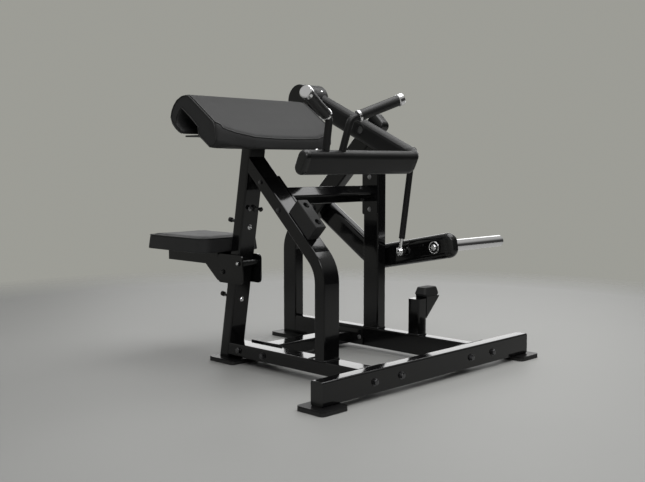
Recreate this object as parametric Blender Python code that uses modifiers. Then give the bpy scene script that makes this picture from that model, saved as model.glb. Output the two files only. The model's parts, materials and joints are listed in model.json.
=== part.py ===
# Plate-loaded biceps curl machine in metres, +Z up. +X points away from the user, +Y to the weight side.
# Sizes below are laid out from the front face and middle of the front crossbeam, on the floor.
import math

import bmesh
import bpy
from mathutils import Matrix, Vector

for old in list(bpy.data.objects):
    bpy.data.objects.remove(old, do_unlink=True)

# Clearances
GAP = 0.0003            # between pieces that touch
SLIDE_GAP = 0.0035      # between the seat carriage's plates and the column
ROLL_GAP = 0.0006       # between the rollers and what they roll on
STUD_GAP = 0.0006       # between the ball stud and the rod's lower eye

# Tube sections
WALL = 0.003
TUBE_WIDE = 0.080
TUBE_THIN = 0.050
TUBE_CORNER = 0.006
BORE_PAST = 0.060       # how far a tube's bore cutter runs past its ends

# Feet
FOOT_LONG = 0.120
FOOT_WIDE = 0.120
REAR_FOOT_LONG = 0.145
REAR_FOOT_WIDE = 0.145
PLATE_THICK = 0.006
RUBBER_TALL = 0.011
PLATE_CORNER = 0.014

# Base frame
BEAM_LENGTH = 1.170
BEAM_FOOT_Y = 0.558
RAIL_Y = 0.2665          # middle of each rail, left and right of the middle plane
NEAR_RAIL_RISE = 0.028
REAR_BEAM_X = -0.688

BEAM_CAP = 0.004
PLUG_LONG = 0.016

# Leaning seat column
COLUMN_FOOT_X = -0.8165
COLUMN_LEAN = 9.85
COLUMN_TOP_Z = 0.868
COLUMN_FOOT_OUT = 0.020   # how far its foot plate sits forward of the column

# Upright post and rear bent leg
UPRIGHT_X = -0.533
REAR_LEG_X = -1.0173
REAR_KNEE_Z = 0.4401
REAR_BEND = 0.115
REAR_SLOPE = 44.6
REAR_SLOPE_LENGTH = 0.706
LEG_CAP_LONG = 0.028
LEG_CAP_PULL = (0.024, 0.010, 0.022)
UPRIGHT_ROUGH = 0.950     # before its top is cut to the slope

# Near bent leg
NEAR_LEG_X = -0.288
NEAR_KNEE_Z = 0.405
NEAR_BEND = 0.132
NEAR_SLOPE = 44.3
NEAR_SLOPE_ROUGH = 0.560  # before its top is cut to the column

# Turned upper crossbeam and its flanges
BRACE_X = -0.541
BRACE_SIZE = 0.050
FLANGE_THICK = 0.006
FLANGE_LONG = 0.172

# Rubber stop block for the lever
BLOCK_AT = 0.181         # along the near leg's slope from its knee
BLOCK_LONG = 0.138
BLOCK_TALL = 0.066
BLOCK_WIDE = 0.052
BLOCK_INSET = 0.005
BLOCK_HOLE_SPACING = 0.082
BLOCK_HOLE_RADIUS = 0.013
BLOCK_HOLE_DEPTH = 0.014

# Weight-arm stop on the far rail
POST_X = -0.306
POST_SIZE = 0.055
POST_TOP_Z = 0.240
BRACKET_LOW_Z = 0.161
BRACKET_TOP_Z = 0.247
BRACKET_REACH = 0.080
BUMPER_WIDE = 0.092
BUMPER_LONG = 0.056
BUMPER_TALL = 0.034
BUMPER_CORNER = 0.010

# Seat rack, its knobs and the column stop
RACK_WIDE = 0.036
RACK_BASE = 0.008
TOOTH_DEPTH = 0.005
TOOTH_PITCH = 0.025
TOOTH_SLOPE = 0.012
RACK_LOW = 0.240
RACK_LONG = 0.325
KNOB_RADIUS = 0.010
KNOB_TALL = 0.016
KNOB_INSET = 0.016
STOP_BOLT_Z = 0.607
STOP_BOLT_LONG = 0.026
STOP_BOLT_RADIUS = 0.009

# Arm pad
PAD_MIDDLE_Y = -0.2665
PAD_HALF_WIDTH = 0.2865
PAD_BOW = 0.071
PAD_EDGE_POWER = 4
PAD_CROWN = 0.007
PAD_PLATE_THICK = 0.006
PAD_PLATE_INSET = 0.012
PAD_FRONT_TOP = (-0.549, 0.912)   # top front corner at the pad's two ends
PAD_FRONT_LOW = (-0.543, 0.849)
PAD_DROP = 0.0468                 # how far the bowed edge drops in the middle
PAD_BOW_LOW = 0.065
PAD_DROP_LOW = 0.026
PAD_REAR = ((-0.696, 1.016), (-0.713, 1.020), (-0.740, 1.017), (-0.769, 1.004), (-0.789, 0.985), (-0.802, 0.964),
            (-0.808, 0.941), (-0.798, 0.917), (-0.779, 0.898), (-0.757, 0.884), (-0.736, 0.878))
PAD_INNER = ((-0.736, 0.894), (-0.754, 0.905), (-0.768, 0.920), (-0.770, 0.936), (-0.760, 0.954), (-0.743, 0.972),
             (-0.696, 0.938), (-0.649, 0.902), (-0.646, 0.871), (-0.612, 0.848), (-0.577, 0.825))
# Share of the half width, and how far the section is drawn in there
PAD_STATIONS = ((-1.0, 0.004), (-0.985, 0.0), (-0.93, 0.0), (-0.8, 0.0), (-0.55, 0.0), (-0.25, 0.0), (0.0, 0.0),
                (0.25, 0.0), (0.55, 0.0), (0.8, 0.0), (0.93, 0.0), (0.985, 0.0), (1.0, 0.004))

# Seat
SEAT_BACK_X = -1.165
SEAT_FRONT_X = -0.800
SEAT_WIDTH = 0.300
SEAT_LOW_Z = 0.430
SEAT_TALL = 0.050
SEAT_CROWN = 0.012
SEAT_CORNER = 0.045
SEAT_PULL_IN = 0.006
BOARD_THICK = 0.012
BOARD_INSET = 0.018
CARRIAGE_BACK_X = -0.835
CARRIAGE_LONG = 0.146
CARRIAGE_LOW_Z = 0.312
CARRIAGE_TALL = 0.112
CARRIAGE_WALL = 0.006
CARRIAGE_CORNER = 0.016
ROLLER_RADIUS = 0.0125
ROLLER_Z = 0.399
REAR_PIN_RADIUS = 0.007
REAR_PIN_Z = 0.346
PIN_RADIUS = 0.006
PIN_HEAD_RADIUS = 0.0095
PIN_HEAD = 0.005
BRACKET_BACK_X = -1.155
BRACKET_DEPTH = 0.051
WEDGE_START_X = -0.911
WEDGE_LOW_Z = 0.319
SHEET = 0.003

# Lever
LEVER_PIVOT = (-0.542, 0.909)
LEVER_SLOPE = 25.1
LEVER_LINE_X = -0.268     # where the arm's middle line crosses the cross piece
LEVER_LINE_Z = 0.777
LEVER_TALL = 0.090
LEVER_THICK = 0.048
LEVER_Y = 0.207
LEVER_BEND = 0.058
LEVER_END_Y = -0.418
END_CAP_LONG = 0.022
LEVER_CAP_PULL = (0.014, 0.010, 0.014)
WEIGHT_RADIUS = 0.065
WEIGHT_LONG = 0.116
WEIGHT_AT = 0.615         # along the lever from the cross piece
AXLE_RADIUS = 0.015
HUB_RADIUS = 0.025
HUB_OUT = 0.006
COLLAR_RADIUS = 0.022
AXLE_HEAD_RADIUS = 0.020
AXLE_HEAD = 0.010

# Grips
POST_SPREAD = 0.039
POST_RADIUS = 0.013
GRIP_TURN_X = -0.226
GRIP_TURN_Z = 0.926
GRIP_TURN_SPREAD = 0.053
GRIP_END_X = -0.149
GRIP_END_Z = 1.003
GRIP_END_SPREAD = 0.242
GRIP_RADIUS = 0.0195
GRIP_START = 0.030
GRIP_COLLAR_LONG = 0.010
GRIP_COLLAR_RADIUS = 0.0215
KNOB_END_RADIUS = 0.022
KNOB_END_LONG = 0.022
POST_TURN_RADIUS = 0.030

# Weight arm
ARM_PIVOT = (-0.877, 0.578)
ARM_KNEE = (-0.579, 0.380)
ARM_BEND = 0.120
ARM_TALL = 0.100
ARM_THICK = 0.050
ARM_Y = 0.3265
ARM_RISE = 11.0
ARM_FRONT_LONG = 0.380    # from the knee to the tube's end
ARM_BEHIND = 0.055
ARM_CAP_LONG = 0.040
ARM_CAP_PULL = (0.034, 0.014, 0.030)
HORN_AT = 0.336           # from the knee
HORN_RADIUS = 0.024
HORN_END_Y = 0.752
HORN_COLLAR_RADIUS = 0.033
HORN_COLLAR = 0.008
DISC_RADIUS = 0.026
DISC_THICK = 0.005

# Rod
ROD_TOP = (-0.350, 0.821)
ROD_LOW = (-0.409, 0.419)
ROD_Y = 0.283
ROD_RADIUS = 0.0125
EYE_RADIUS = 0.018
EYE_THICK = 0.016
EYE_STUD = 0.007
EYE_WELD = 0.003          # how far the tube runs into the upper eye
SHANK_RADIUS = 0.008
SHANK_LONG = 0.070
STUD_BASE_RADIUS = 0.013
STUD_BASE = 0.003
STUD_SHOULDER = 0.010

parts = bpy.data.collections.new("biceps_machine")
cutters = bpy.data.collections.new("cutters")
bpy.context.scene.collection.children.link(parts)
bpy.context.scene.collection.children.link(cutters)


def direction(slope):
    """Unit vector in the XZ plane that rises by slope degrees from +X."""
    angle = math.radians(slope)
    return Vector((math.cos(angle), 0.0, math.sin(angle)))


def material(name, colour, roughness, metallic=0.0):
    look = bpy.data.materials.new(name)
    look.use_nodes = True
    shader = look.node_tree.nodes["Principled BSDF"]
    shader.inputs["Base Color"].default_value = (*colour, 1.0)
    shader.inputs["Roughness"].default_value = roughness
    shader.inputs["Metallic"].default_value = metallic
    look.diffuse_color = (*colour, 1.0)
    return look


gloss_black = material("gloss_black_paint", (0.018, 0.018, 0.020), 0.16)
satin_black = material("satin_black_paint", (0.030, 0.031, 0.033), 0.42)
chrome = material("chrome", (0.86, 0.86, 0.87), 0.07, 1.0)
steel = material("plated_steel", (0.45, 0.45, 0.46), 0.3, 1.0)
rubber = material("black_rubber", (0.020, 0.020, 0.021), 0.75)
vinyl = material("charcoal_vinyl", (0.075, 0.075, 0.078), 0.5)
plastic = material("black_plastic", (0.022, 0.022, 0.024), 0.35)
plywood = material("plywood", (0.42, 0.29, 0.16), 0.7)

# The model's origin is the middle of its box on the floor
box_low_x = SEAT_BACK_X
box_high_x = FOOT_LONG / 2 - TUBE_THIN / 2
box_low_y = -BEAM_FOOT_Y - FOOT_WIDE / 2
box_high_y = HORN_END_Y
origin = Vector(((box_low_x + box_high_x) / 2, (box_low_y + box_high_y) / 2, 0.0))


def empty(name, at, parent=None):
    thing = bpy.data.objects.new(name, None)
    thing.empty_display_size = 0.05
    parts.objects.link(thing)
    thing["layout"] = tuple(at)
    if parent is None:
        thing.location = Vector(at) - origin
    else:
        thing.parent = parent
        thing.location = Vector(at) - Vector(parent["layout"])
    return thing


foot_z = RUBBER_TALL + PLATE_THICK
column_axis = direction(90.0 - COLUMN_LEAN)
frame_root = empty("frame_root", (0.0, 0.0, 0.0))
seat_axis = empty("seat_slide_axis", (COLUMN_FOOT_X, -RAIL_Y, foot_z), frame_root)
lever_axis = empty("lever_axis", (LEVER_PIVOT[0], LEVER_Y, LEVER_PIVOT[1]), frame_root)
rod_axis = empty("rod_axis", (ROD_TOP[0], ROD_Y, ROD_TOP[1]), lever_axis)
arm_axis = empty("weight_arm_axis", (ARM_PIVOT[0], ARM_Y, ARM_PIVOT[1]), frame_root)


def put(thing, at, parent, turn=None):
    """Place an object at a layout point, under its frame root or joint axis."""
    thing.parent = parent
    thing.location = Vector(at) - Vector(parent["layout"])
    if turn is not None:
        thing.rotation_euler = turn.to_euler()
    return thing


def new_part(name, mesh, look, at, parent, turn=None, smooth=35.0):
    mesh.name = name
    mesh.materials.clear()
    mesh.materials.append(look)
    mesh.shade_smooth()
    mesh.set_sharp_from_angle(angle=math.radians(smooth))
    thing = bpy.data.objects.new(name, mesh)
    parts.objects.link(thing)
    return put(thing, at, parent, turn)


def mesh_of(bm):
    bmesh.ops.recalc_face_normals(bm, faces=bm.faces[:])
    mesh = bpy.data.meshes.new("shape")
    bm.to_mesh(mesh)
    bm.free()
    return mesh


def cut(part, mesh, at, turn=None, operation="DIFFERENCE"):
    """Cut a closed mesh, placed in the layout, out of a part."""
    cutter = bpy.data.objects.new("cut_" + part.name, mesh)
    cutters.objects.link(cutter)
    cutter.hide_render = True
    cutter.display_type = "WIRE"
    put(cutter, at, part.parent, turn)
    boolean = part.modifiers.new("cut", "BOOLEAN")
    boolean.operation = operation
    boolean.solver = "EXACT"
    boolean.object = cutter
    return cutter


def round_rectangle(wide, tall, corner, steps=3):
    points = []
    for quarter, (sx, sy) in enumerate(((1, 1), (-1, 1), (-1, -1), (1, -1))):
        centre = ((wide / 2 - corner) * sx, (tall / 2 - corner) * sy)
        for step in range(steps + 1):
            angle = math.radians(90.0 * (quarter + step / steps))
            points.append((centre[0] + corner * math.cos(angle), centre[1] + corner * math.sin(angle)))
    return points


def flat_oval(thick, tall, steps=8):
    radius = thick / 2
    points = []
    for half in (0, 1):
        sign = 1 - 2 * half
        for step in range(steps + 1):
            angle = math.pi * (half + step / steps)
            points.append((radius * math.cos(angle), sign * (tall / 2 - radius) + radius * math.sin(angle)))
    return points


def sweep(profile, legs, turn_steps=8.0, back=0.0, ahead=0.0):
    """Run a closed profile from the origin along +X through straight legs and bends, and close its ends.

    A leg is ("straight", length), ("rise", radius, degrees) towards +Z or ("swing", radius, degrees) towards +Y.
    """
    bm = bmesh.new()
    verts = [bm.verts.new((-back, s, u)) for s, u in profile]
    ring = [bm.edges.new((verts[i], verts[(i + 1) % len(verts)])) for i in range(len(verts))]
    place = Vector((-back, 0.0, 0.0))
    ahead_way = Vector((1.0, 0.0, 0.0))
    side = Vector((0.0, 1.0, 0.0))
    up = Vector((0.0, 0.0, 1.0))
    last = len(legs) - 1
    for index, leg in enumerate(legs):
        if leg[0] == "straight":
            length = leg[1] + (back if index == 0 else 0.0) + (ahead if index == last else 0.0)
            made = bmesh.ops.extrude_edge_only(bm, edges=ring)["geom"]
            verts = [item for item in made if isinstance(item, bmesh.types.BMVert)]
            bmesh.ops.translate(bm, verts=verts, vec=ahead_way * length)
            place = place + ahead_way * length
        else:
            toward = up if leg[0] == "rise" else side
            angle = math.radians(leg[2])
            sign = 1.0 if angle > 0 else -1.0
            centre = place + toward * leg[1] * sign
            axis = ahead_way.cross(toward)
            steps = max(2, round(abs(leg[2]) / turn_steps))
            made = bmesh.ops.spin(bm, geom=verts + ring, cent=centre, axis=axis, angle=angle, steps=steps,
                                  use_duplicate=False)["geom_last"]
            verts = [item for item in made if isinstance(item, bmesh.types.BMVert)]
            spin = Matrix.Rotation(angle, 3, axis)
            place = centre + spin @ (place - centre)
            ahead_way = spin @ ahead_way
            side = spin @ side
            up = spin @ up
        here = set(verts)
        ring = [edge for edge in bm.edges if edge.verts[0] in here and edge.verts[1] in here]
    bmesh.ops.holes_fill(bm, edges=bm.edges[:], sides=0)
    return bm


def trim(bm, at, turn, point, normal):
    """Cut off what lies past a plane given in the layout, and close the cut."""
    to_local = (Matrix.Translation(at) @ turn.to_4x4()).inverted()
    plane_point = to_local @ Vector(point)
    plane_normal = to_local.to_3x3() @ Vector(normal)
    cut_geom = bmesh.ops.bisect_plane(bm, geom=bm.verts[:] + bm.edges[:] + bm.faces[:], plane_co=plane_point,
                                      plane_no=plane_normal, clear_outer=True)["geom_cut"]
    edges = [item for item in cut_geom if isinstance(item, bmesh.types.BMEdge)]
    bmesh.ops.holes_fill(bm, edges=edges, sides=0)


def turn_to(slope, twist=0.0):
    """Rotation that lays +X along a slope in the XZ plane."""
    return Matrix.Rotation(math.radians(-slope), 3, "Y") @ Matrix.Rotation(math.radians(twist), 3, "X")


def tube(name, section, size, legs, at, turn, look, parent, trims=(), closed_start=False, closed_end=False):
    """Hollow welded tube: a swept bar, trimmed at its joints, with a smaller bar cut out of it."""
    bar = sweep(section(size[0], size[1]), legs)
    for point, normal in trims:
        trim(bar, at, turn, point, normal)
    part = new_part(name, mesh_of(bar), look, at, parent, turn)
    back = -WALL if closed_start else BORE_PAST
    ahead = -WALL if closed_end else BORE_PAST
    bore = sweep(section(size[0] - 2 * WALL, size[1] - 2 * WALL), legs, back=back, ahead=ahead)
    cut(part, mesh_of(bore), at, turn)
    return part


def box_section(wide, tall):
    """Rounded rectangle of a box tube, also of its bore, whose corners are a wall tighter."""
    bore = min(wide, tall) < TUBE_THIN - WALL
    return round_rectangle(wide, tall, TUBE_CORNER - WALL if bore else TUBE_CORNER)


def block(name, low, high, look, parent, bevel=0.0015, segments=2):
    """Box between two layout corners with rounded edges."""
    size = Vector(high) - Vector(low)
    middle = (Vector(high) + Vector(low)) / 2
    bm = bmesh.new()
    bmesh.ops.create_cube(bm, size=1.0)
    bmesh.ops.scale(bm, verts=bm.verts[:], vec=size)
    if bevel:
        bmesh.ops.bevel(bm, geom=bm.edges[:], offset=bevel, segments=segments, profile=0.5, affect="EDGES")
    return new_part(name, mesh_of(bm), look, middle, parent)


def outline_mesh(points, thickness, plane="XZ"):
    """Closed solid of a flat outline, as a filled 2D curve given a thickness."""
    curve = bpy.data.curves.new("outline", "CURVE")
    curve.dimensions = "2D"
    curve.fill_mode = "BOTH"
    curve.extrude = thickness / 2
    spline = curve.splines.new("POLY")
    spline.points.add(len(points) - 1)
    for spot, (a, b) in zip(spline.points, points):
        spot.co = (a, b, 0.0, 1.0)
    spline.use_cyclic_u = True
    carrier = bpy.data.objects.new("outline", curve)
    bpy.context.scene.collection.objects.link(carrier)
    bpy.context.view_layer.update()
    evaluated = carrier.evaluated_get(bpy.context.evaluated_depsgraph_get())
    mesh = bpy.data.meshes.new_from_object(evaluated)
    bpy.data.objects.remove(carrier, do_unlink=True)
    bpy.data.curves.remove(curve)
    bm = bmesh.new()
    bm.from_mesh(mesh)
    bmesh.ops.remove_doubles(bm, verts=bm.verts[:], dist=0.00002)
    if plane == "XZ":
        bmesh.ops.rotate(bm, verts=bm.verts[:], cent=(0, 0, 0), matrix=Matrix.Rotation(math.pi / 2, 3, "X"))
    elif plane == "YZ":
        bmesh.ops.rotate(bm, verts=bm.verts[:], cent=(0, 0, 0), matrix=Matrix.Rotation(math.pi / 2, 3, "X"))
        bmesh.ops.rotate(bm, verts=bm.verts[:], cent=(0, 0, 0), matrix=Matrix.Rotation(math.pi / 2, 3, "Z"))
    bmesh.ops.recalc_face_normals(bm, faces=bm.faces[:])
    bm.to_mesh(mesh)
    bm.free()
    return mesh


def turned(name, profile, look, at, parent, axis=(0.0, 1.0, 0.0), steps=32):
    """Turned piece: a profile of (radius, height) runs down its outer side, and height points along axis."""
    mesh = bpy.data.meshes.new(name)
    loop = profile[0][0] > 0.0 and profile[-1][0] > 0.0
    edges = [(i, i + 1) for i in range(len(profile) - 1)]
    if loop:
        edges.append((len(profile) - 1, 0))
    mesh.from_pydata([(r, 0.0, h) for r, h in profile], edges, [])
    quaternion = Vector((0.0, 0.0, 1.0)).rotation_difference(Vector(axis).normalized())
    part = new_part(name, mesh, look, at, parent, quaternion.to_matrix())
    screw = part.modifiers.new("turn", "SCREW")
    screw.axis = "Z"
    screw.steps = steps
    screw.render_steps = steps
    screw.use_merge_vertices = True
    screw.merge_threshold = 0.00002
    screw.use_smooth_shade = True
    return part


def cylinder_mesh(radius, length, segments=32, axis="Y"):
    bm = bmesh.new()
    bmesh.ops.create_cone(bm, cap_ends=True, segments=segments, radius1=radius, radius2=radius, depth=length)
    if axis == "Y":
        bmesh.ops.rotate(bm, verts=bm.verts[:], cent=(0, 0, 0), matrix=Matrix.Rotation(math.pi / 2, 3, "X"))
    elif axis == "X":
        bmesh.ops.rotate(bm, verts=bm.verts[:], cent=(0, 0, 0), matrix=Matrix.Rotation(math.pi / 2, 3, "Y"))
    return mesh_of(bm)


def loft(rings):
    """Closed solid through rings of equally many points, with a flat face over each end."""
    bm = bmesh.new()
    loops = [[bm.verts.new(point) for point in ring] for ring in rings]
    for lower, upper in zip(loops, loops[1:]):
        for i in range(len(lower)):
            j = (i + 1) % len(lower)
            bm.faces.new((lower[i], lower[j], upper[j], upper[i]))
    bm.faces.new(loops[0][::-1])
    bm.faces.new(loops[-1])
    return bm


def end_cap(name, profile, long, pull, look, at, turn, parent, steps=5):
    """Moulded cap on a tube's end: along +X the tube's section stays whole, then rounds over.

    pull is how far the rounding reaches along the tube, and how far it draws the two half widths in.
    """
    wide = max(s for s, u in profile)
    tall = max(u for s, u in profile)
    rings = [[(0.0, s, u) for s, u in profile]]
    for step in range(steps + 1):
        angle = math.radians(90.0 * step / steps)
        ahead = long - pull[0] + pull[0] * math.sin(angle)
        scale_s = 1.0 - pull[1] / wide * (1.0 - math.cos(angle))
        scale_u = 1.0 - pull[2] / tall * (1.0 - math.cos(angle))
        rings.append([(ahead, s * scale_s, u * scale_u) for s, u in profile])
    return new_part(name, mesh_of(loft(rings)), look, at, parent, turn)


def plug_cap(name, at, turn):
    """Flat cap of the crossbeam with a plug that sits inside the tube."""
    outer = box_section(TUBE_THIN, TUBE_WIDE)
    fit = WALL + GAP
    plug = round_rectangle(TUBE_THIN - 2 * fit, TUBE_WIDE - 2 * fit, TUBE_CORNER - WALL)
    rings = [[(x, s, u) for s, u in points]
             for x, points in ((-PLUG_LONG, plug), (GAP, plug), (GAP, outer), (BEAM_CAP, outer))]
    return new_part(name, mesh_of(loft(rings)), plastic, at, frame_root, turn)


def foot(name, x, y, long, wide):
    """Square steel plate welded under the frame, with a rubber pad under it."""
    pad = outline_mesh(round_rectangle(long, wide, PLATE_CORNER), RUBBER_TALL, "XY")
    new_part("rubber_foot_" + name, pad, rubber, (x, y, RUBBER_TALL / 2), frame_root)
    thick = PLATE_THICK - GAP
    plate = outline_mesh(round_rectangle(long, wide, PLATE_CORNER), thick, "XY")
    new_part("foot_plate_" + name, plate, gloss_black, (x, y, foot_z - thick / 2), frame_root)


def cylinder_profile(radius, low, high, chamfer):
    return [(0.0, high), (radius - chamfer, high), (radius, high - chamfer), (radius, low + chamfer),
            (radius - chamfer, low), (0.0, low)]


def sleeve_profile(outer, inner, low, high, chamfer=0.001):
    return [(outer - chamfer, high), (outer, high - chamfer), (outer, low + chamfer), (outer - chamfer, low),
            (inner, low), (inner, high)]


# Planes and lines that several pieces meet
base_z = foot_z + GAP
rail_top = base_z + TUBE_WIDE
half_wide = TUBE_WIDE / 2
half_thin = TUBE_THIN / 2
column_front = direction(-COLUMN_LEAN)
column_foot = Vector((COLUMN_FOOT_X, -RAIL_Y, foot_z))
rear_knee = Vector((REAR_LEG_X, RAIL_Y, REAR_KNEE_Z))
near_knee = Vector((NEAR_LEG_X, -RAIL_Y, NEAR_KNEE_Z))
rear_up = direction(REAR_SLOPE)
near_up = direction(180.0 - NEAR_SLOPE)
near_normal = direction(90.0 - NEAR_SLOPE)
along_y = Matrix.Rotation(math.pi / 2, 3, "Z")
frame_near_y = RAIL_Y - half_thin
frame_far_y = RAIL_Y + half_thin


def on_column(height, out):
    """Point level with height on the column's middle line, moved out towards its front."""
    middle = column_foot + column_axis * ((height - foot_z) / column_axis.z)
    return middle + column_front * out


def build_base():
    beam_half = BEAM_LENGTH / 2 - BEAM_CAP
    beam_z = base_z + half_wide
    tube("front_crossbeam", box_section, (TUBE_THIN, TUBE_WIDE), [("straight", 2 * beam_half)],
         (-half_thin, -beam_half, beam_z), along_y, gloss_black, frame_root)
    plug_cap("crossbeam_cap_far", (-half_thin, beam_half, beam_z), along_y)
    plug_cap("crossbeam_cap_near", (-half_thin, -beam_half, beam_z), Matrix.Rotation(-math.pi / 2, 3, "Z"))

    rail_start = on_column(NEAR_RAIL_RISE, half_thin).x - half_thin
    tube("near_rail", box_section, (TUBE_WIDE, TUBE_THIN), [("straight", -TUBE_THIN - GAP - rail_start)],
         (rail_start, -RAIL_Y, NEAR_RAIL_RISE + half_thin), Matrix.Identity(3), gloss_black, frame_root,
         trims=[(on_column(foot_z, half_thin + GAP), -column_front)])

    beam_start = -RAIL_Y + half_wide + GAP
    tube("rear_crossbeam", box_section, (TUBE_WIDE, TUBE_THIN), [("straight", frame_near_y - GAP - beam_start)],
         (REAR_BEAM_X, beam_start, base_z + half_thin), along_y, gloss_black, frame_root)

    far_start = REAR_LEG_X + half_wide + GAP
    tube("far_rail", box_section, (TUBE_THIN, TUBE_WIDE), [("straight", -TUBE_THIN - GAP - far_start)],
         (far_start, RAIL_Y, base_z + half_wide), Matrix.Identity(3), gloss_black, frame_root)

    foot("front_near", -half_thin, -BEAM_FOOT_Y, FOOT_LONG, FOOT_WIDE)
    foot("front_far", -half_thin, BEAM_FOOT_Y, FOOT_LONG, FOOT_WIDE)
    foot("column", COLUMN_FOOT_X + COLUMN_FOOT_OUT, -RAIL_Y, REAR_FOOT_LONG, REAR_FOOT_WIDE)
    foot("rear_leg", REAR_LEG_X, RAIL_Y, REAR_FOOT_LONG, REAR_FOOT_WIDE)


def build_legs():
    rear_turn = 90.0 - REAR_SLOPE
    reach = REAR_BEND * math.tan(math.radians(rear_turn / 2))
    legs = [("straight", REAR_KNEE_Z - base_z - reach), ("rise", REAR_BEND, -rear_turn),
            ("straight", REAR_SLOPE_LENGTH - reach)]
    leg = tube("rear_bent_leg", box_section, (TUBE_THIN, TUBE_WIDE), legs, (REAR_LEG_X, RAIL_Y, base_z),
               turn_to(90.0), gloss_black, frame_root)
    for pivot in (LEVER_PIVOT, ARM_PIVOT):
        cut(leg, cylinder_mesh(AXLE_RADIUS + GAP, TUBE_THIN + 0.02), (pivot[0], RAIL_Y, pivot[1]))
    end_cap("rear_leg_end_cap", box_section(TUBE_THIN, TUBE_WIDE), LEG_CAP_LONG, LEG_CAP_PULL, plastic,
            rear_knee + rear_up * (REAR_SLOPE_LENGTH + GAP), turn_to(REAR_SLOPE), frame_root)

    under = direction(REAR_SLOPE - 90.0)
    tube("upright_post", box_section, (TUBE_THIN, TUBE_WIDE), [("straight", UPRIGHT_ROUGH)],
         (UPRIGHT_X, RAIL_Y, rail_top + GAP), turn_to(90.0), gloss_black, frame_root,
         trims=[(rear_knee + under * (half_wide + GAP), -under)])

    near_turn = 90.0 - NEAR_SLOPE
    reach = NEAR_BEND * math.tan(math.radians(near_turn / 2))
    start = NEAR_RAIL_RISE + TUBE_THIN + GAP
    legs = [("straight", NEAR_KNEE_Z - start - reach), ("rise", NEAR_BEND, near_turn),
            ("straight", NEAR_SLOPE_ROUGH)]
    tube("near_bent_leg", box_section, (TUBE_WIDE, TUBE_THIN), legs, (NEAR_LEG_X, -RAIL_Y, start), turn_to(90.0),
         gloss_black, frame_root, trims=[(on_column(foot_z, half_thin + GAP), -column_front)])

    below = column_foot - column_axis * TUBE_THIN
    tube("seat_column", box_section, (TUBE_WIDE, TUBE_THIN),
         [("straight", (COLUMN_TOP_Z - below.z) / column_axis.z + TUBE_THIN)], below,
         turn_to(90.0 - COLUMN_LEAN), gloss_black, frame_root,
         trims=[((0, 0, base_z), (0, 0, -1)), ((0, 0, COLUMN_TOP_Z), (0, 0, 1))])


def build_brace():
    brace = near_knee + near_up * ((NEAR_LEG_X - BRACE_X) / math.cos(math.radians(NEAR_SLOPE)))
    near_y = -RAIL_Y + half_wide + GAP
    far_y = frame_near_y - GAP
    thick = FLANGE_THICK
    near_plate = outline_mesh(round_rectangle(FLANGE_LONG, TUBE_THIN, TUBE_CORNER), thick)
    new_part("brace_flange_near", near_plate, gloss_black, (brace.x, near_y + thick / 2, brace.z), frame_root,
             turn_to(-NEAR_SLOPE))
    far_plate = outline_mesh(round_rectangle(TUBE_WIDE, FLANGE_LONG, TUBE_CORNER), thick)
    new_part("brace_flange_far", far_plate, gloss_black, (UPRIGHT_X, far_y - thick / 2, brace.z), frame_root)
    start = near_y + thick + GAP
    end = far_y - thick - GAP
    tube("upper_crossbeam", box_section, (BRACE_SIZE, BRACE_SIZE), [("straight", end - start)],
         (brace.x, start, brace.z), Matrix.Rotation(math.radians(NEAR_SLOPE), 3, "Y") @ along_y, gloss_black,
         frame_root)


def build_stop_block():
    seat = near_knee + near_up * BLOCK_AT + near_normal * (half_thin + GAP)
    seat.y = -RAIL_Y - half_wide + BLOCK_INSET + BLOCK_WIDE / 2
    turn = turn_to(-NEAR_SLOPE)
    bm = bmesh.new()
    bmesh.ops.create_cube(bm, size=1.0)
    bmesh.ops.scale(bm, verts=bm.verts[:], vec=(BLOCK_LONG, BLOCK_WIDE, BLOCK_TALL))
    bmesh.ops.bevel(bm, geom=bm.edges[:], offset=BLOCK_INSET, segments=3, profile=0.5, affect="EDGES")
    middle = seat + near_normal * (BLOCK_TALL / 2)
    block_part = new_part("lever_stop_block", mesh_of(bm), rubber, middle, frame_root, turn)
    deep = BLOCK_HOLE_DEPTH
    for side in (-1, 1):
        hole = cylinder_mesh(BLOCK_HOLE_RADIUS, 2 * deep, 24, "Z")
        spot = middle + near_normal * (BLOCK_TALL / 2) + near_up * (side * BLOCK_HOLE_SPACING / 2)
        cut(block_part, hole, spot, turn)


def build_weight_stop():
    post_low = rail_top + GAP
    tube("stop_post", box_section, (TUBE_THIN, POST_SIZE), [("straight", POST_TOP_Z - post_low)],
         (POST_X, RAIL_Y, post_low), turn_to(90.0), gloss_black, frame_root, closed_end=True)
    fold = WALL * 2
    outline = [(0.0, BRACKET_LOW_Z), (BRACKET_REACH, BRACKET_TOP_Z - fold), (BRACKET_REACH, BRACKET_TOP_Z),
               (0.0, BRACKET_TOP_Z)]
    new_part("stop_bracket", outline_mesh(outline, POST_SIZE, "YZ"), gloss_black,
             (POST_X, frame_far_y + GAP, 0.0), frame_root)
    rings = []
    for height, share in ((0.0, 0.93), (0.25, 1.0), (0.85, 0.86), (1.0, 0.80)):
        section = round_rectangle(BUMPER_LONG * share, BUMPER_WIDE * share, BUMPER_CORNER)
        rings.append([(x, y, height * BUMPER_TALL) for x, y in section])
    new_part("stop_bumper", mesh_of(loft(rings)), rubber, (POST_X, ARM_Y, BRACKET_TOP_Z + GAP), frame_root)


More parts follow.
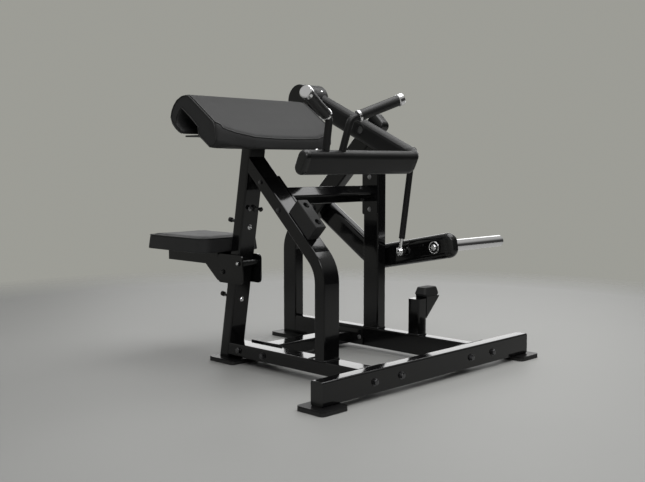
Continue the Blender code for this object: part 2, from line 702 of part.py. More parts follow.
def build_rack():
    outline = [(0.0, 0.0), (RACK_LONG, 0.0), (RACK_LONG, RACK_BASE)]
    land = KNOB_INSET + KNOB_RADIUS + 2 * GAP
    ledge = RACK_LONG - land
    while ledge - TOOTH_PITCH > land:
        outline += [(ledge, RACK_BASE), (ledge, RACK_BASE + TOOTH_DEPTH), (ledge - TOOTH_SLOPE, RACK_BASE)]
        ledge -= TOOTH_PITCH
    outline.append((0.0, RACK_BASE))
    turn = turn_to(90.0 - COLUMN_LEAN)
    seat = on_column(RACK_LOW, -half_thin - GAP)
    rack = new_part("seat_rack", outline_mesh(outline, RACK_WIDE), gloss_black, seat, frame_root, turn)
    for along in (KNOB_INSET, RACK_LONG - KNOB_INSET):
        knob_tall = KNOB_TALL + WALL
        knob = cylinder_mesh(KNOB_RADIUS, knob_tall, 20, "Z")
        spot = seat + column_axis * along - column_front * (RACK_BASE + KNOB_TALL - knob_tall / 2)
        cut(rack, knob, spot, turn, "UNION")
    shank = STOP_BOLT_RADIUS * 0.7
    stop = [(0.0, STOP_BOLT_LONG), (STOP_BOLT_RADIUS, STOP_BOLT_LONG), (STOP_BOLT_RADIUS, STOP_BOLT_LONG - WALL * 2),
            (shank, STOP_BOLT_LONG - WALL * 2), (shank, WALL), (STOP_BOLT_RADIUS, WALL), (STOP_BOLT_RADIUS, 0.0),
            (0.0, 0.0)]
    turned("column_stop", stop, plastic, on_column(STOP_BOLT_Z, half_thin + GAP), frame_root, column_front, 20)


def inset_outline(points, distance):
    """Outline drawn in by a distance, each point along the mean of its two edges' normals."""
    drawn = []
    for i, (x, z) in enumerate(points):
        before = Vector(points[i - 1])
        here = Vector((x, z))
        after = Vector(points[(i + 1) % len(points)])
        one = (here - before).normalized()
        two = (after - here).normalized()
        normal = Vector((-(one.y + two.y), one.x + two.x))
        drawn.append(tuple(here + normal.normalized() * distance))
    return drawn


def pad_section(share):
    """Arm pad section, counter-clockwise seen from the near side, at a share of the half width."""
    bow = 1.0 - abs(share) ** PAD_EDGE_POWER
    crown = PAD_CROWN * (1.0 - share * share)
    front = Vector((PAD_FRONT_TOP[0] + PAD_BOW * bow, PAD_FRONT_TOP[1] - PAD_DROP * bow))
    low = Vector((PAD_FRONT_LOW[0] + PAD_BOW_LOW * bow, PAD_FRONT_LOW[1] - PAD_DROP_LOW * bow))
    crest = Vector(PAD_REAR[0])
    along = (crest - front).normalized()
    normal = Vector((-along.y, along.x)) * -1.0
    length = (crest - front).length
    round_edge = [low.lerp(front, 0.55), front + Vector((0.0, -0.012)), front + Vector((-0.003, -0.003)),
                  front + along * 0.012 + normal * 0.001]
    top = [front + along * (length * part) + normal * (crown * math.sin(math.pi * part) + 0.001)
           for part in (0.2, 0.4, 0.6, 0.8)]
    rear = [Vector(point) for point in PAD_REAR]
    inner = [Vector(point) for point in PAD_INNER]
    return [tuple(point) for point in [low] + round_edge + top + rear + inner]


def build_arm_pad():
    rings = []
    for share, drawn in PAD_STATIONS:
        section = inset_outline(pad_section(share), drawn)
        rings.append([(x, share * PAD_HALF_WIDTH, z) for x, z in section])
    new_part("arm_pad_cushion", mesh_of(loft(rings)), vinyl, (0.0, PAD_MIDDLE_Y, 0.0), frame_root, smooth=40.0)
    half = PAD_HALF_WIDTH - PAD_PLATE_INSET
    front = PAD_INNER[-3][0] - GAP
    back = PAD_REAR[-1][0] + GAP
    block("arm_pad_plate", (back, PAD_MIDDLE_Y - half, COLUMN_TOP_Z + GAP),
          (front, PAD_MIDDLE_Y + half, COLUMN_TOP_Z + GAP + PAD_PLATE_THICK), satin_black, frame_root, 0.001, 1)


def build_seat():
    low_z = CARRIAGE_LOW_Z
    high_z = CARRIAGE_LOW_Z + CARRIAGE_TALL
    back_x = CARRIAGE_BACK_X
    front_x = CARRIAGE_BACK_X + CARRIAGE_LONG
    inner = half_wide + SLIDE_GAP
    outer = inner + CARRIAGE_WALL
    middle = Vector(((back_x + front_x) / 2, -RAIL_Y, (low_z + high_z) / 2))
    side = outline_mesh(round_rectangle(CARRIAGE_LONG, CARRIAGE_TALL, CARRIAGE_CORNER, 4), 2 * outer)
    carriage = new_part("seat_carriage", side, gloss_black, middle, seat_axis)
    bm = bmesh.new()
    bmesh.ops.create_cube(bm, size=1.0)
    bmesh.ops.scale(bm, verts=bm.verts[:], vec=(CARRIAGE_LONG, 2 * inner, 2 * CARRIAGE_TALL))
    cut(carriage, mesh_of(bm), middle + Vector((CARRIAGE_WALL, 0.0, 0.0)))

    roller_spot = on_column(ROLLER_Z, half_thin + ROLL_GAP + ROLLER_RADIUS)
    pin_spot = on_column(REAR_PIN_Z, -half_thin - RACK_BASE - TOOTH_DEPTH - ROLL_GAP - REAR_PIN_RADIUS)
    for name, spot, radius in (("seat_front_roller", roller_spot, ROLLER_RADIUS),
                               ("seat_rear_pin", pin_spot, REAR_PIN_RADIUS)):
        cut(carriage, cylinder_mesh(PIN_RADIUS + GAP, 2 * outer + 0.02, 20), spot)
        head = outer + GAP
        end = head + PIN_HEAD
        body = inner - ROLL_GAP
        profile = [(0.0, end), (PIN_HEAD_RADIUS, end), (PIN_HEAD_RADIUS, head), (PIN_RADIUS, head),
                   (PIN_RADIUS, body), (radius, body), (radius, -body), (PIN_RADIUS, -body), (PIN_RADIUS, -head),
                   (PIN_HEAD_RADIUS, -head), (PIN_HEAD_RADIUS, -end), (0.0, -end)]
        turned(name, profile, steel, spot, seat_axis, steps=20)

    def side_outline(inset, rise):
        top = SEAT_LOW_Z - GAP + rise
        low = SEAT_LOW_Z - BRACKET_DEPTH + inset
        right = back_x - GAP - inset
        return [(BRACKET_BACK_X + inset, top), (BRACKET_BACK_X + inset, low), (WEDGE_START_X - inset * 0.4, low),
                (back_x - WALL - inset, WEDGE_LOW_Z + inset), (right, WEDGE_LOW_Z + inset), (right, top)]

    bracket = new_part("seat_bracket", outline_mesh(side_outline(0.0, 0.0), 2 * outer), gloss_black,
                       (0.0, -RAIL_Y, 0.0), seat_axis)
    cut(bracket, outline_mesh(side_outline(SHEET, BORE_PAST), 2 * (outer - SHEET)), (0.0, -RAIL_Y, 0.0))

    long = SEAT_FRONT_X - SEAT_BACK_X
    centre = ((SEAT_FRONT_X + SEAT_BACK_X) / 2, -RAIL_Y)
    board_long = long - 2 * BOARD_INSET
    board_wide = SEAT_WIDTH - 2 * BOARD_INSET
    board = outline_mesh(round_rectangle(board_long, board_wide, SEAT_CORNER - BOARD_INSET), BOARD_THICK, "XY")
    new_part("seat_board", board, plywood, (*centre, SEAT_LOW_Z + BOARD_THICK / 2), seat_axis)
    tall = SEAT_TALL - SEAT_CROWN
    pocket = BOARD_INSET - GAP
    levels = [(pocket, BOARD_THICK + GAP), (pocket, 0.0), (0.004, 0.0), (0.0, 0.004), (SEAT_PULL_IN, tall * 0.5),
              (0.001, tall - 0.010), (0.004, tall - 0.002), (0.012, tall + SEAT_CROWN * 0.25),
              (0.045, tall + SEAT_CROWN * 0.65), (0.085, tall + SEAT_CROWN * 0.92), (0.125, tall + SEAT_CROWN)]
    rings = []
    for inset, height in levels:
        corner = max(SEAT_CORNER - inset, 0.008)
        ring = round_rectangle(long - 2 * inset, SEAT_WIDTH - 2 * inset, corner, 5)
        rings.append([(x, y, height) for x, y in ring])
    new_part("seat_cushion", mesh_of(loft(rings)), vinyl, (*centre, SEAT_LOW_Z), seat_axis)


def axle(name, pivot, head_face, seat_face, hub_face, end, way):
    """Fixed axle: head on one side of the leg, collar on the other, then the journal inside the hub."""
    start = head_face * way
    faces = [start + GAP + AXLE_HEAD, start + GAP, seat_face * way - GAP, hub_face * way + ROLL_GAP, end * way]
    profile = [(0.0, faces[0]), (AXLE_HEAD_RADIUS, faces[0]), (AXLE_HEAD_RADIUS, faces[1]),
               (AXLE_RADIUS, faces[1]), (AXLE_RADIUS, faces[2]), (COLLAR_RADIUS, faces[2]),
               (COLLAR_RADIUS, faces[3]), (AXLE_RADIUS, faces[3]), (AXLE_RADIUS, faces[4]), (0.0, faces[4])]
    turned(name, profile, steel, (pivot[0], 0.0, pivot[1]), frame_root, (0.0, way, 0.0))


lever_line = Vector((LEVER_LINE_X, LEVER_Y, LEVER_LINE_Z))
lever_way = direction(-LEVER_SLOPE)
lever_normal = direction(90.0 - LEVER_SLOPE)
lever_turn = turn_to(-LEVER_SLOPE)
lever_near_y = LEVER_Y - LEVER_THICK / 2
lever_far_y = LEVER_Y + LEVER_THICK / 2


def lever_section(thick, tall):
    return flat_oval(thick, tall)


def build_lever():
    cope = WEIGHT_RADIUS - half_thin
    start = lever_line - lever_way * (WEIGHT_AT - cope)
    cross_long = LEVER_Y - LEVER_BEND - LEVER_END_Y - END_CAP_LONG
    legs = [("straight", WEIGHT_AT - cope - LEVER_BEND), ("swing", LEVER_BEND, -90.0), ("straight", cross_long)]
    arm = tube("lever_arm", lever_section, (LEVER_THICK, LEVER_TALL), legs, start, lever_turn, satin_black,
               lever_axis)
    weight_spot = lever_line - lever_way * WEIGHT_AT
    cut(arm, cylinder_mesh(WEIGHT_RADIUS + GAP, 0.2, 48), weight_spot)
    pivot = Vector((LEVER_PIVOT[0], LEVER_Y, LEVER_PIVOT[1]))
    cut(arm, cylinder_mesh(HUB_RADIUS + GAP, 0.1), pivot)
    weight_spot.y = lever_far_y - WEIGHT_LONG / 2
    half = WEIGHT_LONG / 2
    turned("counterweight", cylinder_profile(WEIGHT_RADIUS, -half, half, 0.003), satin_black, weight_spot,
           lever_axis, steps=48)
    cap_spot = Vector((LEVER_LINE_X, LEVER_END_Y + END_CAP_LONG - GAP, LEVER_LINE_Z))
    end_cap("lever_end_cap", lever_section(LEVER_THICK, LEVER_TALL), END_CAP_LONG - GAP, LEVER_CAP_PULL, plastic,
            cap_spot, lever_turn @ Matrix.Rotation(-math.pi / 2, 3, "Z"), lever_axis)
    half = LEVER_THICK / 2
    turned("lever_hub", sleeve_profile(HUB_RADIUS, AXLE_RADIUS + GAP, -half, half + HUB_OUT), steel, pivot,
           lever_axis)
    axle("lever_axle", LEVER_PIVOT, frame_far_y, frame_near_y, lever_far_y + HUB_OUT, lever_near_y + WALL, 1)


def rounded_path(corners, radius, steps=6):
    """Polyline with its middle corner turned into an arc."""
    first, corner, last = (Vector(point) for point in corners)
    back = (first - corner).normalized()
    ahead = (last - corner).normalized()
    half = math.acos(max(-1.0, min(1.0, back.dot(ahead)))) / 2
    reach = radius / math.tan(half)
    centre = corner + (back + ahead).normalized() * (radius / math.sin(half))
    start = corner + back * reach - centre
    axis = (-back).cross(ahead).normalized()
    sweep_angle = math.pi - 2 * half
    arc = [centre + Matrix.Rotation(sweep_angle * k / steps, 3, axis) @ start for k in range(steps + 1)]
    return [first] + arc + [last]


def build_grip(side, sign):
    """Bent post on the cross piece with its rubber grip, inner collar and end knob."""
    foot_point = Vector((LEVER_LINE_X, 0.0, LEVER_LINE_Z)) + lever_normal * (LEVER_TALL / 2 - LEVER_THICK / 2)
    turn_point = Vector((GRIP_TURN_X, PAD_MIDDLE_Y + sign * GRIP_TURN_SPREAD, GRIP_TURN_Z))
    end_point = Vector((GRIP_END_X, PAD_MIDDLE_Y + sign * GRIP_END_SPREAD, GRIP_END_Z))
    foot_point.y = PAD_MIDDLE_Y + sign * POST_SPREAD
    line = end_point - turn_point
    total = line.length
    axis = line.normalized()
    knob_start = total - KNOB_END_LONG
    curve = bpy.data.curves.new("post", "CURVE")
    curve.dimensions = "3D"
    curve.bevel_depth = POST_RADIUS
    curve.bevel_resolution = 6
    curve.use_fill_caps = True
    bar_start = foot_point + (turn_point - foot_point).normalized() * (LEVER_THICK / 4)
    path = rounded_path([bar_start, turn_point, turn_point + axis * (knob_start - GAP)], POST_TURN_RADIUS)
    spline = curve.splines.new("POLY")
    spline.points.add(len(path) - 1)
    for spot, point in zip(spline.points, path):
        spot.co = (*(point - turn_point), 1.0)
    carrier = bpy.data.objects.new("post", curve)
    bpy.context.scene.collection.objects.link(carrier)
    bpy.context.view_layer.update()
    evaluated = carrier.evaluated_get(bpy.context.evaluated_depsgraph_get())
    mesh = bpy.data.meshes.new_from_object(evaluated)
    bpy.data.objects.remove(carrier, do_unlink=True)
    bpy.data.curves.remove(curve)
    bm = bmesh.new()
    bm.from_mesh(mesh)
    bmesh.ops.remove_doubles(bm, verts=bm.verts[:], dist=0.00002)
    bm.to_mesh(mesh)
    bm.free()
    post = new_part("grip_post_" + side, mesh, satin_black, turn_point, lever_axis)
    cut(post, cylinder_mesh(LEVER_THICK / 2 + GAP, 0.08, 48), foot_point)

    collar_start = turn_point + axis * GRIP_START
    inner = POST_RADIUS + GAP
    turned("grip_collar_" + side, sleeve_profile(GRIP_COLLAR_RADIUS, inner, 0.0, GRIP_COLLAR_LONG), chrome,
           collar_start, lever_axis, axis)
    grip_start = GRIP_START + GRIP_COLLAR_LONG + GAP
    turned("grip_" + side, sleeve_profile(GRIP_RADIUS, inner, 0.0, knob_start - GAP - grip_start, 0.002), rubber,
           turn_point + axis * grip_start, lever_axis, axis)
    turned("grip_knob_" + side, cylinder_profile(KNOB_END_RADIUS, 0.0, KNOB_END_LONG, 0.003), chrome,
           turn_point + axis * knob_start, lever_axis, axis)


arm_line = Vector((ARM_KNEE[0] - ARM_PIVOT[0], 0.0, ARM_KNEE[1] - ARM_PIVOT[1]))
arm_slope = math.degrees(math.atan2(arm_line.z, arm_line.x))
arm_knee = Vector((ARM_KNEE[0], ARM_Y, ARM_KNEE[1]))
arm_way = direction(ARM_RISE)
arm_near_y = ARM_Y - ARM_THICK / 2
arm_far_y = ARM_Y + ARM_THICK / 2


def build_weight_arm():
    bend = ARM_RISE - arm_slope
    reach = ARM_BEND * math.tan(math.radians(bend / 2))
    pivot = Vector((ARM_PIVOT[0], ARM_Y, ARM_PIVOT[1]))
    start = pivot - direction(arm_slope) * ARM_BEHIND
    legs = [("straight", arm_line.length + ARM_BEHIND - reach), ("rise", ARM_BEND, bend),
            ("straight", ARM_FRONT_LONG - reach)]
    arm = tube("weight_arm", lever_section, (ARM_THICK, ARM_TALL), legs, start, turn_to(arm_slope), satin_black,
               arm_axis, closed_start=True)
    cut(arm, cylinder_mesh(HUB_RADIUS + GAP, 0.1), pivot)
    horn_spot = arm_knee + arm_way * HORN_AT
    cut(arm, cylinder_mesh(HORN_RADIUS + GAP, 0.1), horn_spot)
    end_cap("weight_arm_end_cap", lever_section(ARM_THICK, ARM_TALL), ARM_CAP_LONG, ARM_CAP_PULL, plastic,
            arm_knee + arm_way * (ARM_FRONT_LONG + GAP), turn_to(ARM_RISE), arm_axis)
    half = ARM_THICK / 2
    turned("weight_arm_hub", sleeve_profile(HUB_RADIUS, AXLE_RADIUS + GAP, -half - HUB_OUT, half), steel, pivot,
           arm_axis)
    axle("weight_arm_axle", ARM_PIVOT, frame_near_y, frame_far_y, arm_near_y - HUB_OUT, arm_far_y - WALL, -1)
    near = arm_near_y - ARM_Y
    far = arm_far_y + GAP - ARM_Y
    end = HORN_END_Y - ARM_Y
    profile = [(0.0, end), (HORN_RADIUS - 0.004, end), (HORN_RADIUS, end - 0.004), (HORN_RADIUS, far + HORN_COLLAR),
               (HORN_COLLAR_RADIUS, far + HORN_COLLAR), (HORN_COLLAR_RADIUS, far), (HORN_RADIUS, far),
               (HORN_RADIUS, near), (0.0, near)]
    turned("weight_horn", profile, chrome, horn_spot, arm_axis)
    disc_spot = horn_spot + Vector((0.0, near - GAP, 0.0))
    turned("horn_disc", cylinder_profile(DISC_RADIUS, 0.0, DISC_THICK, 0.001), chrome, disc_spot, arm_axis,
           (0.0, -1.0, 0.0))
    stud_end = arm_near_y - (ROD_Y + EYE_THICK / 2) - STUD_GAP
    stud = [(0.0, stud_end), (EYE_STUD, stud_end), (EYE_STUD, GAP + STUD_BASE), (STUD_BASE_RADIUS, GAP + STUD_BASE),
            (STUD_BASE_RADIUS, GAP), (0.0, GAP)]
    turned("ball_stud", stud, chrome, (ROD_LOW[0], arm_near_y, ROD_LOW[1]), rod_axis, (0.0, -1.0, 0.0), 24)


def build_rod():
    top = Vector((ROD_TOP[0], ROD_Y, ROD_TOP[1]))
    low = Vector((ROD_LOW[0], ROD_Y, ROD_LOW[1]))
    way = (top - low).normalized()
    lean = Vector((0.0, 0.0, 1.0)).rotation_difference(way).to_matrix()
    eye_section = cylinder_profile(EYE_RADIUS, -EYE_THICK / 2, EYE_THICK / 2, 0.002)
    hole = cylinder_mesh(EYE_STUD + GAP, 2 * EYE_THICK, 24)

    lower = turned("rod_lower_end", eye_section, chrome, low, rod_axis)
    shank = cylinder_mesh(SHANK_RADIUS, SHANK_LONG, 24, "Z")
    cut(lower, shank, low + way * (SHANK_LONG / 2), lean, "UNION")
    cut(lower, hole, low)

    rod = turned("rod_tube", eye_section, satin_black, top, rod_axis)
    tube_start = SHANK_LONG - 2 * SHANK_RADIUS
    tube_end = (top - low).length - EYE_RADIUS + EYE_WELD
    bar = cylinder_mesh(ROD_RADIUS, tube_end - tube_start, 32, "Z")
    cut(rod, bar, low + way * ((tube_start + tube_end) / 2), lean, "UNION")
    cut(rod, hole, top)
    bore = cylinder_mesh(SHANK_RADIUS + GAP, 4 * SHANK_RADIUS + 2 * GAP, 24, "Z")
    cut(rod, bore, low + way * tube_start, lean)

    eye_low = ROD_Y - EYE_THICK / 2 - lever_far_y
    eye_high = ROD_Y + EYE_THICK / 2 - lever_far_y
    head = eye_high + STUD_GAP
    step = eye_low - STUD_GAP
    profile = [(0.0, head + STUD_BASE), (STUD_BASE_RADIUS, head + STUD_BASE), (STUD_BASE_RADIUS, head),
               (EYE_STUD, head), (EYE_STUD, step), (STUD_SHOULDER, step), (STUD_SHOULDER, GAP + STUD_BASE),
               (STUD_BASE_RADIUS, GAP + STUD_BASE), (STUD_BASE_RADIUS, GAP), (0.0, GAP)]
    turned("rod_upper_stud", profile, steel, (ROD_TOP[0], lever_far_y, ROD_TOP[1]), lever_axis, steps=24)


build_base()
build_legs()
build_brace()
build_stop_block()
build_weight_stop()
build_rack()
build_arm_pad()
build_seat()
build_lever()
build_grip("near", -1)
build_grip("far", 1)
build_weight_arm()
build_rod()
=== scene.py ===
# Plate-loaded biceps curl machine: finishes, upholstery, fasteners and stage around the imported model
import json
import math

import bmesh
import bpy
from mathutils import Matrix, Vector


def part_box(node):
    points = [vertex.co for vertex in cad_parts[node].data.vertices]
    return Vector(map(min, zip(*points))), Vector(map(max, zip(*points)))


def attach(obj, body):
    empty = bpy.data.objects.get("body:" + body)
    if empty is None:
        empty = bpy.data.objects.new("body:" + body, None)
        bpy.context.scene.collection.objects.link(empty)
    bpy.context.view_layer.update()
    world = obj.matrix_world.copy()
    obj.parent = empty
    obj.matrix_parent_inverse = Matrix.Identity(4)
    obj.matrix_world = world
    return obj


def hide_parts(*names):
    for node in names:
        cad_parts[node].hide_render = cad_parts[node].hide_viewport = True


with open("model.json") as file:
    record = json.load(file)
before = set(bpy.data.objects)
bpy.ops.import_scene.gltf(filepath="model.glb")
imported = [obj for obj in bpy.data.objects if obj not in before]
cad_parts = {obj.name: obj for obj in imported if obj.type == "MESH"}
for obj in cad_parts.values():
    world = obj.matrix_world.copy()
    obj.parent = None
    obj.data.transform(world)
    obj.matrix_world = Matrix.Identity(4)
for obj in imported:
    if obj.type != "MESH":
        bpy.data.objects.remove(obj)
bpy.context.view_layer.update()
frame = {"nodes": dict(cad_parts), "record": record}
nodes = frame["nodes"]
beamLow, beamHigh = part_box("front_crossbeam")
layoutShift = Vector((beamHigh[0], (beamLow[1] + beamHigh[1]) / 2, 0.0))  # the crossbeam's front middle


def at(x, y, z):  # a place given from the front crossbeam's front middle, on the ground
    return Vector((x, y, z)) + layoutShift


def middle(node):
    low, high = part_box(node)
    return (Vector(low) + Vector(high)) / 2


def slopeWay(slope):
    angle = math.radians(slope)
    return Vector((math.cos(angle), 0.0, math.sin(angle)))


def aim(direction, spin=0.0):  # turns local +Z to a direction
    way = Vector(direction).normalized()
    return (way.to_track_quat("Z", "Y").to_matrix() @ Matrix.Rotation(math.radians(spin), 3, "Z")).to_4x4()


# Shader maths in Python
class Wire:
    def __init__(self, graph, socket):
        self.graph = graph
        self.socket = socket

    def maths(self, operation, other):
        return self.graph.node("ShaderNodeMath", {"operation": operation}, {0: self, 1: other})

    def __add__(self, other):
        return self.maths("ADD", other)

    def __mul__(self, other):
        return self.maths("MULTIPLY", other)

    __radd__ = __add__
    __rmul__ = __mul__


class Graph:
    def __init__(self, tree):
        self.tree = tree

    def node(self, kind, settings=None, inputs=None, output=0):
        made = self.tree.nodes.new(kind)
        for key, value in (settings or {}).items():
            setattr(made, key, value)
        for key, value in (inputs or {}).items():
            if isinstance(value, Wire):
                self.tree.links.new(value.socket, made.inputs[key])
            else:
                made.inputs[key].default_value = value
        return Wire(self, made.outputs[output]) if made.outputs else None

    def blendColours(self, mask, first, second):
        inputs = {0: mask, 6: (*first, 1.0), 7: (*second, 1.0)}
        return self.node("ShaderNodeMix", {"data_type": "RGBA"}, inputs, output=2)


class Look(Graph):
    def __init__(self, name, slot):
        self.material = bpy.data.materials.new(name)
        self.material.use_nodes = True
        super().__init__(self.material.node_tree)
        self.slot = slot
        self.shader = self.tree.nodes["Principled BSDF"]
        self.point = self.node("ShaderNodeTexCoord", output="Object")

    def feed(self, socket, wire):
        self.tree.links.new(wire.socket, self.shader.inputs[socket])

    def fixed(self, **values):
        for key, value in values.items():
            self.shader.inputs[key.replace("_", " ")].default_value = value

    def noise(self, scale, detail=3.0, stretch=None):
        point = self.point
        if stretch:
            inputs = {"Vector": point, "Scale": stretch}
            point = self.node("ShaderNodeMapping", inputs=inputs, output="Vector")
        return self.node("ShaderNodeTexNoise", inputs={"Vector": point, "Scale": scale, "Detail": detail})

    def bump(self, height, strength, distance):
        inputs = {"Strength": strength, "Distance": distance, "Height": height}
        self.feed("Normal", self.node("ShaderNodeBump", inputs=inputs))


def paintLook(name, slot, settings):
    look = Look(name, slot)
    smudge = look.noise(settings["smudgeScale"], detail=4.0)
    grain = look.noise(settings["grainScale"], detail=2.0)
    look.feed("Base Color", look.blendColours(smudge, settings["dark"], settings["light"]))
    look.feed("Roughness", smudge * settings["roughSpread"] + settings["rough"])
    look.bump(grain, settings["bump"], settings["bumpDepth"])
    look.fixed(**settings["shader"])
    return look


glossPaint = paintLook("glossPaint", "gloss_black_paint", {
    "smudgeScale": 5.0, "grainScale": 240.0,
    "dark": (0.0030, 0.0030, 0.0032), "light": (0.0050, 0.0050, 0.0053),
    "rough": 0.05, "roughSpread": 0.12, "bump": 0.035, "bumpDepth": 0.0004,
    "shader": {"Coat_Weight": 0.20, "Coat_Roughness": 0.03, "Specular_IOR_Level": 0.32}})
satinPaint = paintLook("satinPaint", "satin_black_paint", {
    "smudgeScale": 6.0, "grainScale": 1100.0,
    "dark": (0.0045, 0.0045, 0.0047), "light": (0.0075, 0.0075, 0.0078),
    "rough": 0.36, "roughSpread": 0.12, "bump": 0.16, "bumpDepth": 0.0003,
    "shader": {"Specular_IOR_Level": 0.4}})
footPaint = paintLook("footPaint", "gloss_black_paint", {
    "smudgeScale": 6.0, "grainScale": 700.0,
    "dark": (0.0040, 0.0040, 0.0042), "light": (0.0065, 0.0065, 0.0068),
    "rough": 0.30, "roughSpread": 0.12, "bump": 0.12, "bumpDepth": 0.0003,
    "shader": {"Specular_IOR_Level": 0.3}})
capPlastic = paintLook("capPlastic", "black_plastic", {
    "smudgeScale": 9.0, "grainScale": 500.0,
    "dark": (0.0060, 0.0062, 0.0060), "light": (0.0095, 0.0100, 0.0095),
    "rough": 0.20, "roughSpread": 0.12, "bump": 0.08, "bumpDepth": 0.0003,
    "shader": {"Coat_Weight": 0.0}})
chromePlate = paintLook("chromePlate", "chrome", {
    "smudgeScale": 30.0, "grainScale": 300.0,
    "dark": (0.82, 0.82, 0.83), "light": (0.93, 0.93, 0.94),
    "rough": 0.04, "roughSpread": 0.07, "bump": 0.02, "bumpDepth": 0.0002,
    "shader": {"Metallic": 1.0}})
zincPlate = paintLook("zincPlate", "plated_steel", {
    "smudgeScale": 60.0, "grainScale": 700.0,
    "dark": (0.34, 0.34, 0.35), "light": (0.52, 0.52, 0.53),
    "rough": 0.22, "roughSpread": 0.16, "bump": 0.06, "bumpDepth": 0.0002,
    "shader": {"Metallic": 1.0}})
moulded = paintLook("mouldedRubber", "black_rubber", {
    "smudgeScale": 12.0, "grainScale": 900.0,
    "dark": (0.0090, 0.0090, 0.0090), "light": (0.0170, 0.0170, 0.0170),
    "rough": 0.55, "roughSpread": 0.2, "bump": 0.3, "bumpDepth": 0.0004,
    "shader": {"Coat_Weight": 0.0}})
blackOxide = paintLook("blackOxide", "plated_steel", {
    "smudgeScale": 60.0, "grainScale": 700.0,
    "dark": (0.085, 0.085, 0.088), "light": (0.150, 0.150, 0.155),
    "rough": 0.20, "roughSpread": 0.16, "bump": 0.06, "bumpDepth": 0.0002,
    "shader": {"Metallic": 1.0}})
gripRubber = paintLook("gripRubber", "black_rubber", {
    "smudgeScale": 25.0, "grainScale": 1400.0,
    "dark": (0.0060, 0.0060, 0.0060), "light": (0.0110, 0.0110, 0.0110),
    "rough": 0.36, "roughSpread": 0.2, "bump": 0.25, "bumpDepth": 0.0003,
    "shader": {"Coat_Weight": 0.0}})
pipingLook = paintLook("pipingVinyl", "charcoal_vinyl", {
    "smudgeScale": 40.0, "grainScale": 900.0,
    "dark": (0.010, 0.010, 0.010), "light": (0.018, 0.018, 0.018),
    "rough": 0.34, "roughSpread": 0.15, "bump": 0.25, "bumpDepth": 0.0003,
    "shader": {"Coat_Weight": 0.0}})

vinyl = {"cell": 620.0, "cellSmooth": 0.35, "cellShare": 0.8, "creaseScale": 70.0, "creaseShare": 0.3,
         "fold": 9.0, "dark": (0.034, 0.034, 0.034), "light": (0.045, 0.045, 0.045),
         "rough": 0.46, "roughSpread": 0.12, "bump": 0.3, "bumpDepth": 0.0005, "specular": 0.14}


def vinylLook():  # a fine cell grain with soft creases, slightly uneven in tone
    look = Look("padVinyl", "charcoal_vinyl")
    inputs = {"Vector": look.point, "Scale": vinyl["cell"], "Smoothness": vinyl["cellSmooth"]}
    grain = look.node("ShaderNodeTexVoronoi", {"feature": "SMOOTH_F1"}, inputs, output="Distance")
    fold = look.noise(vinyl["fold"], detail=4.0)
    crease = look.noise(vinyl["creaseScale"])
    look.feed("Base Color", look.blendColours(fold, vinyl["dark"], vinyl["light"]))
    look.feed("Roughness", fold * vinyl["roughSpread"] + vinyl["rough"])
    look.bump(grain * vinyl["cellShare"] + crease * vinyl["creaseShare"], vinyl["bump"], vinyl["bumpDepth"])
    look.fixed(Specular_IOR_Level=vinyl["specular"])
    return look


plywood = {"plies": 160.0, "waver": 1.5, "plyShare": 0.35, "grain": 40.0, "grainStretch": (1.0, 12.0, 1.0),
           "grainShare": 0.5, "dark": (0.16, 0.10, 0.055), "light": (0.42, 0.30, 0.18),
           "rough": 0.6, "roughSpread": 0.2, "bump": 0.2, "bumpDepth": 0.0004}


def plywoodLook():
    look = Look("seatPlywood", "plywood")
    inputs = {"Vector": look.point, "Scale": plywood["plies"], "Distortion": plywood["waver"], "Detail": 2.0}
    ply = look.node("ShaderNodeTexWave", {"bands_direction": "Z"}, inputs)
    grain = look.noise(plywood["grain"], detail=6.0, stretch=plywood["grainStretch"])
    tone = ply * plywood["plyShare"] + grain * plywood["grainShare"]
    look.feed("Base Color", look.blendColours(tone, plywood["dark"], plywood["light"]))
    look.feed("Roughness", grain * plywood["roughSpread"] + plywood["rough"])
    look.bump(grain, plywood["bump"], plywood["bumpDepth"])
    return look


padVinyl = vinylLook()
seatPlywood = plywoodLook()
print("materials made")

# Pieces, and the frame's own nodes
mergeDistance = {"made": 0.00001, "frame": 0.00002}


def dressMesh(name, mesh, look, body, smooth=32.0, replaced=()):  # a sharper angle shades as an edge
    mesh.shade_smooth()
    mesh.set_sharp_from_angle(angle=math.radians(smooth))
    mesh.materials.clear()
    mesh.materials.append(look.material)
    piece = bpy.data.objects.new(name, mesh)
    bpy.context.scene.collection.objects.link(piece)
    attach(piece, body)
    for node in replaced:
        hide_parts(node)
    return piece


def finishPiece(name, bm, look, body, smooth=32.0):
    bmesh.ops.remove_doubles(bm, verts=bm.verts[:], dist=mergeDistance["made"])
    bmesh.ops.recalc_face_normals(bm, faces=bm.faces[:])
    mesh = bpy.data.meshes.new(name)
    bm.to_mesh(mesh)
    bm.free()
    return dressMesh(name, mesh, look, body, smooth)


bodyOf = {node: body for body, members in frame["record"]["behaviour"]["bodies"].items() for node in members}


def mergedCopy(node):
    bm = bmesh.new()
    bm.from_mesh(nodes[node].data)
    bmesh.ops.remove_doubles(bm, verts=bm.verts[:], dist=mergeDistance["frame"])
    bm.normal_update()
    return bm


def dressNode(node, look):
    nodes[node].data.materials.clear()
    nodes[node].data.materials.append(look.material)


flatAngle = 0.5  # degrees, below which neighbouring triangles are one face


def roundedCopy(node, look):  # a curved node, merged so that it shades smoothly
    bm = mergedCopy(node)
    bmesh.ops.dissolve_limit(bm, angle_limit=math.radians(flatAngle), verts=bm.verts[:], edges=bm.edges[:])
    mesh = bpy.data.meshes.new(node + "Finished")
    bm.to_mesh(mesh)
    bm.free()
    piece = dressMesh(node + "Finished", mesh, look, bodyOf[node], replaced=[node])
    piece.modifiers.new("evenShading", "WEIGHTED_NORMAL").keep_sharp = True
    return piece


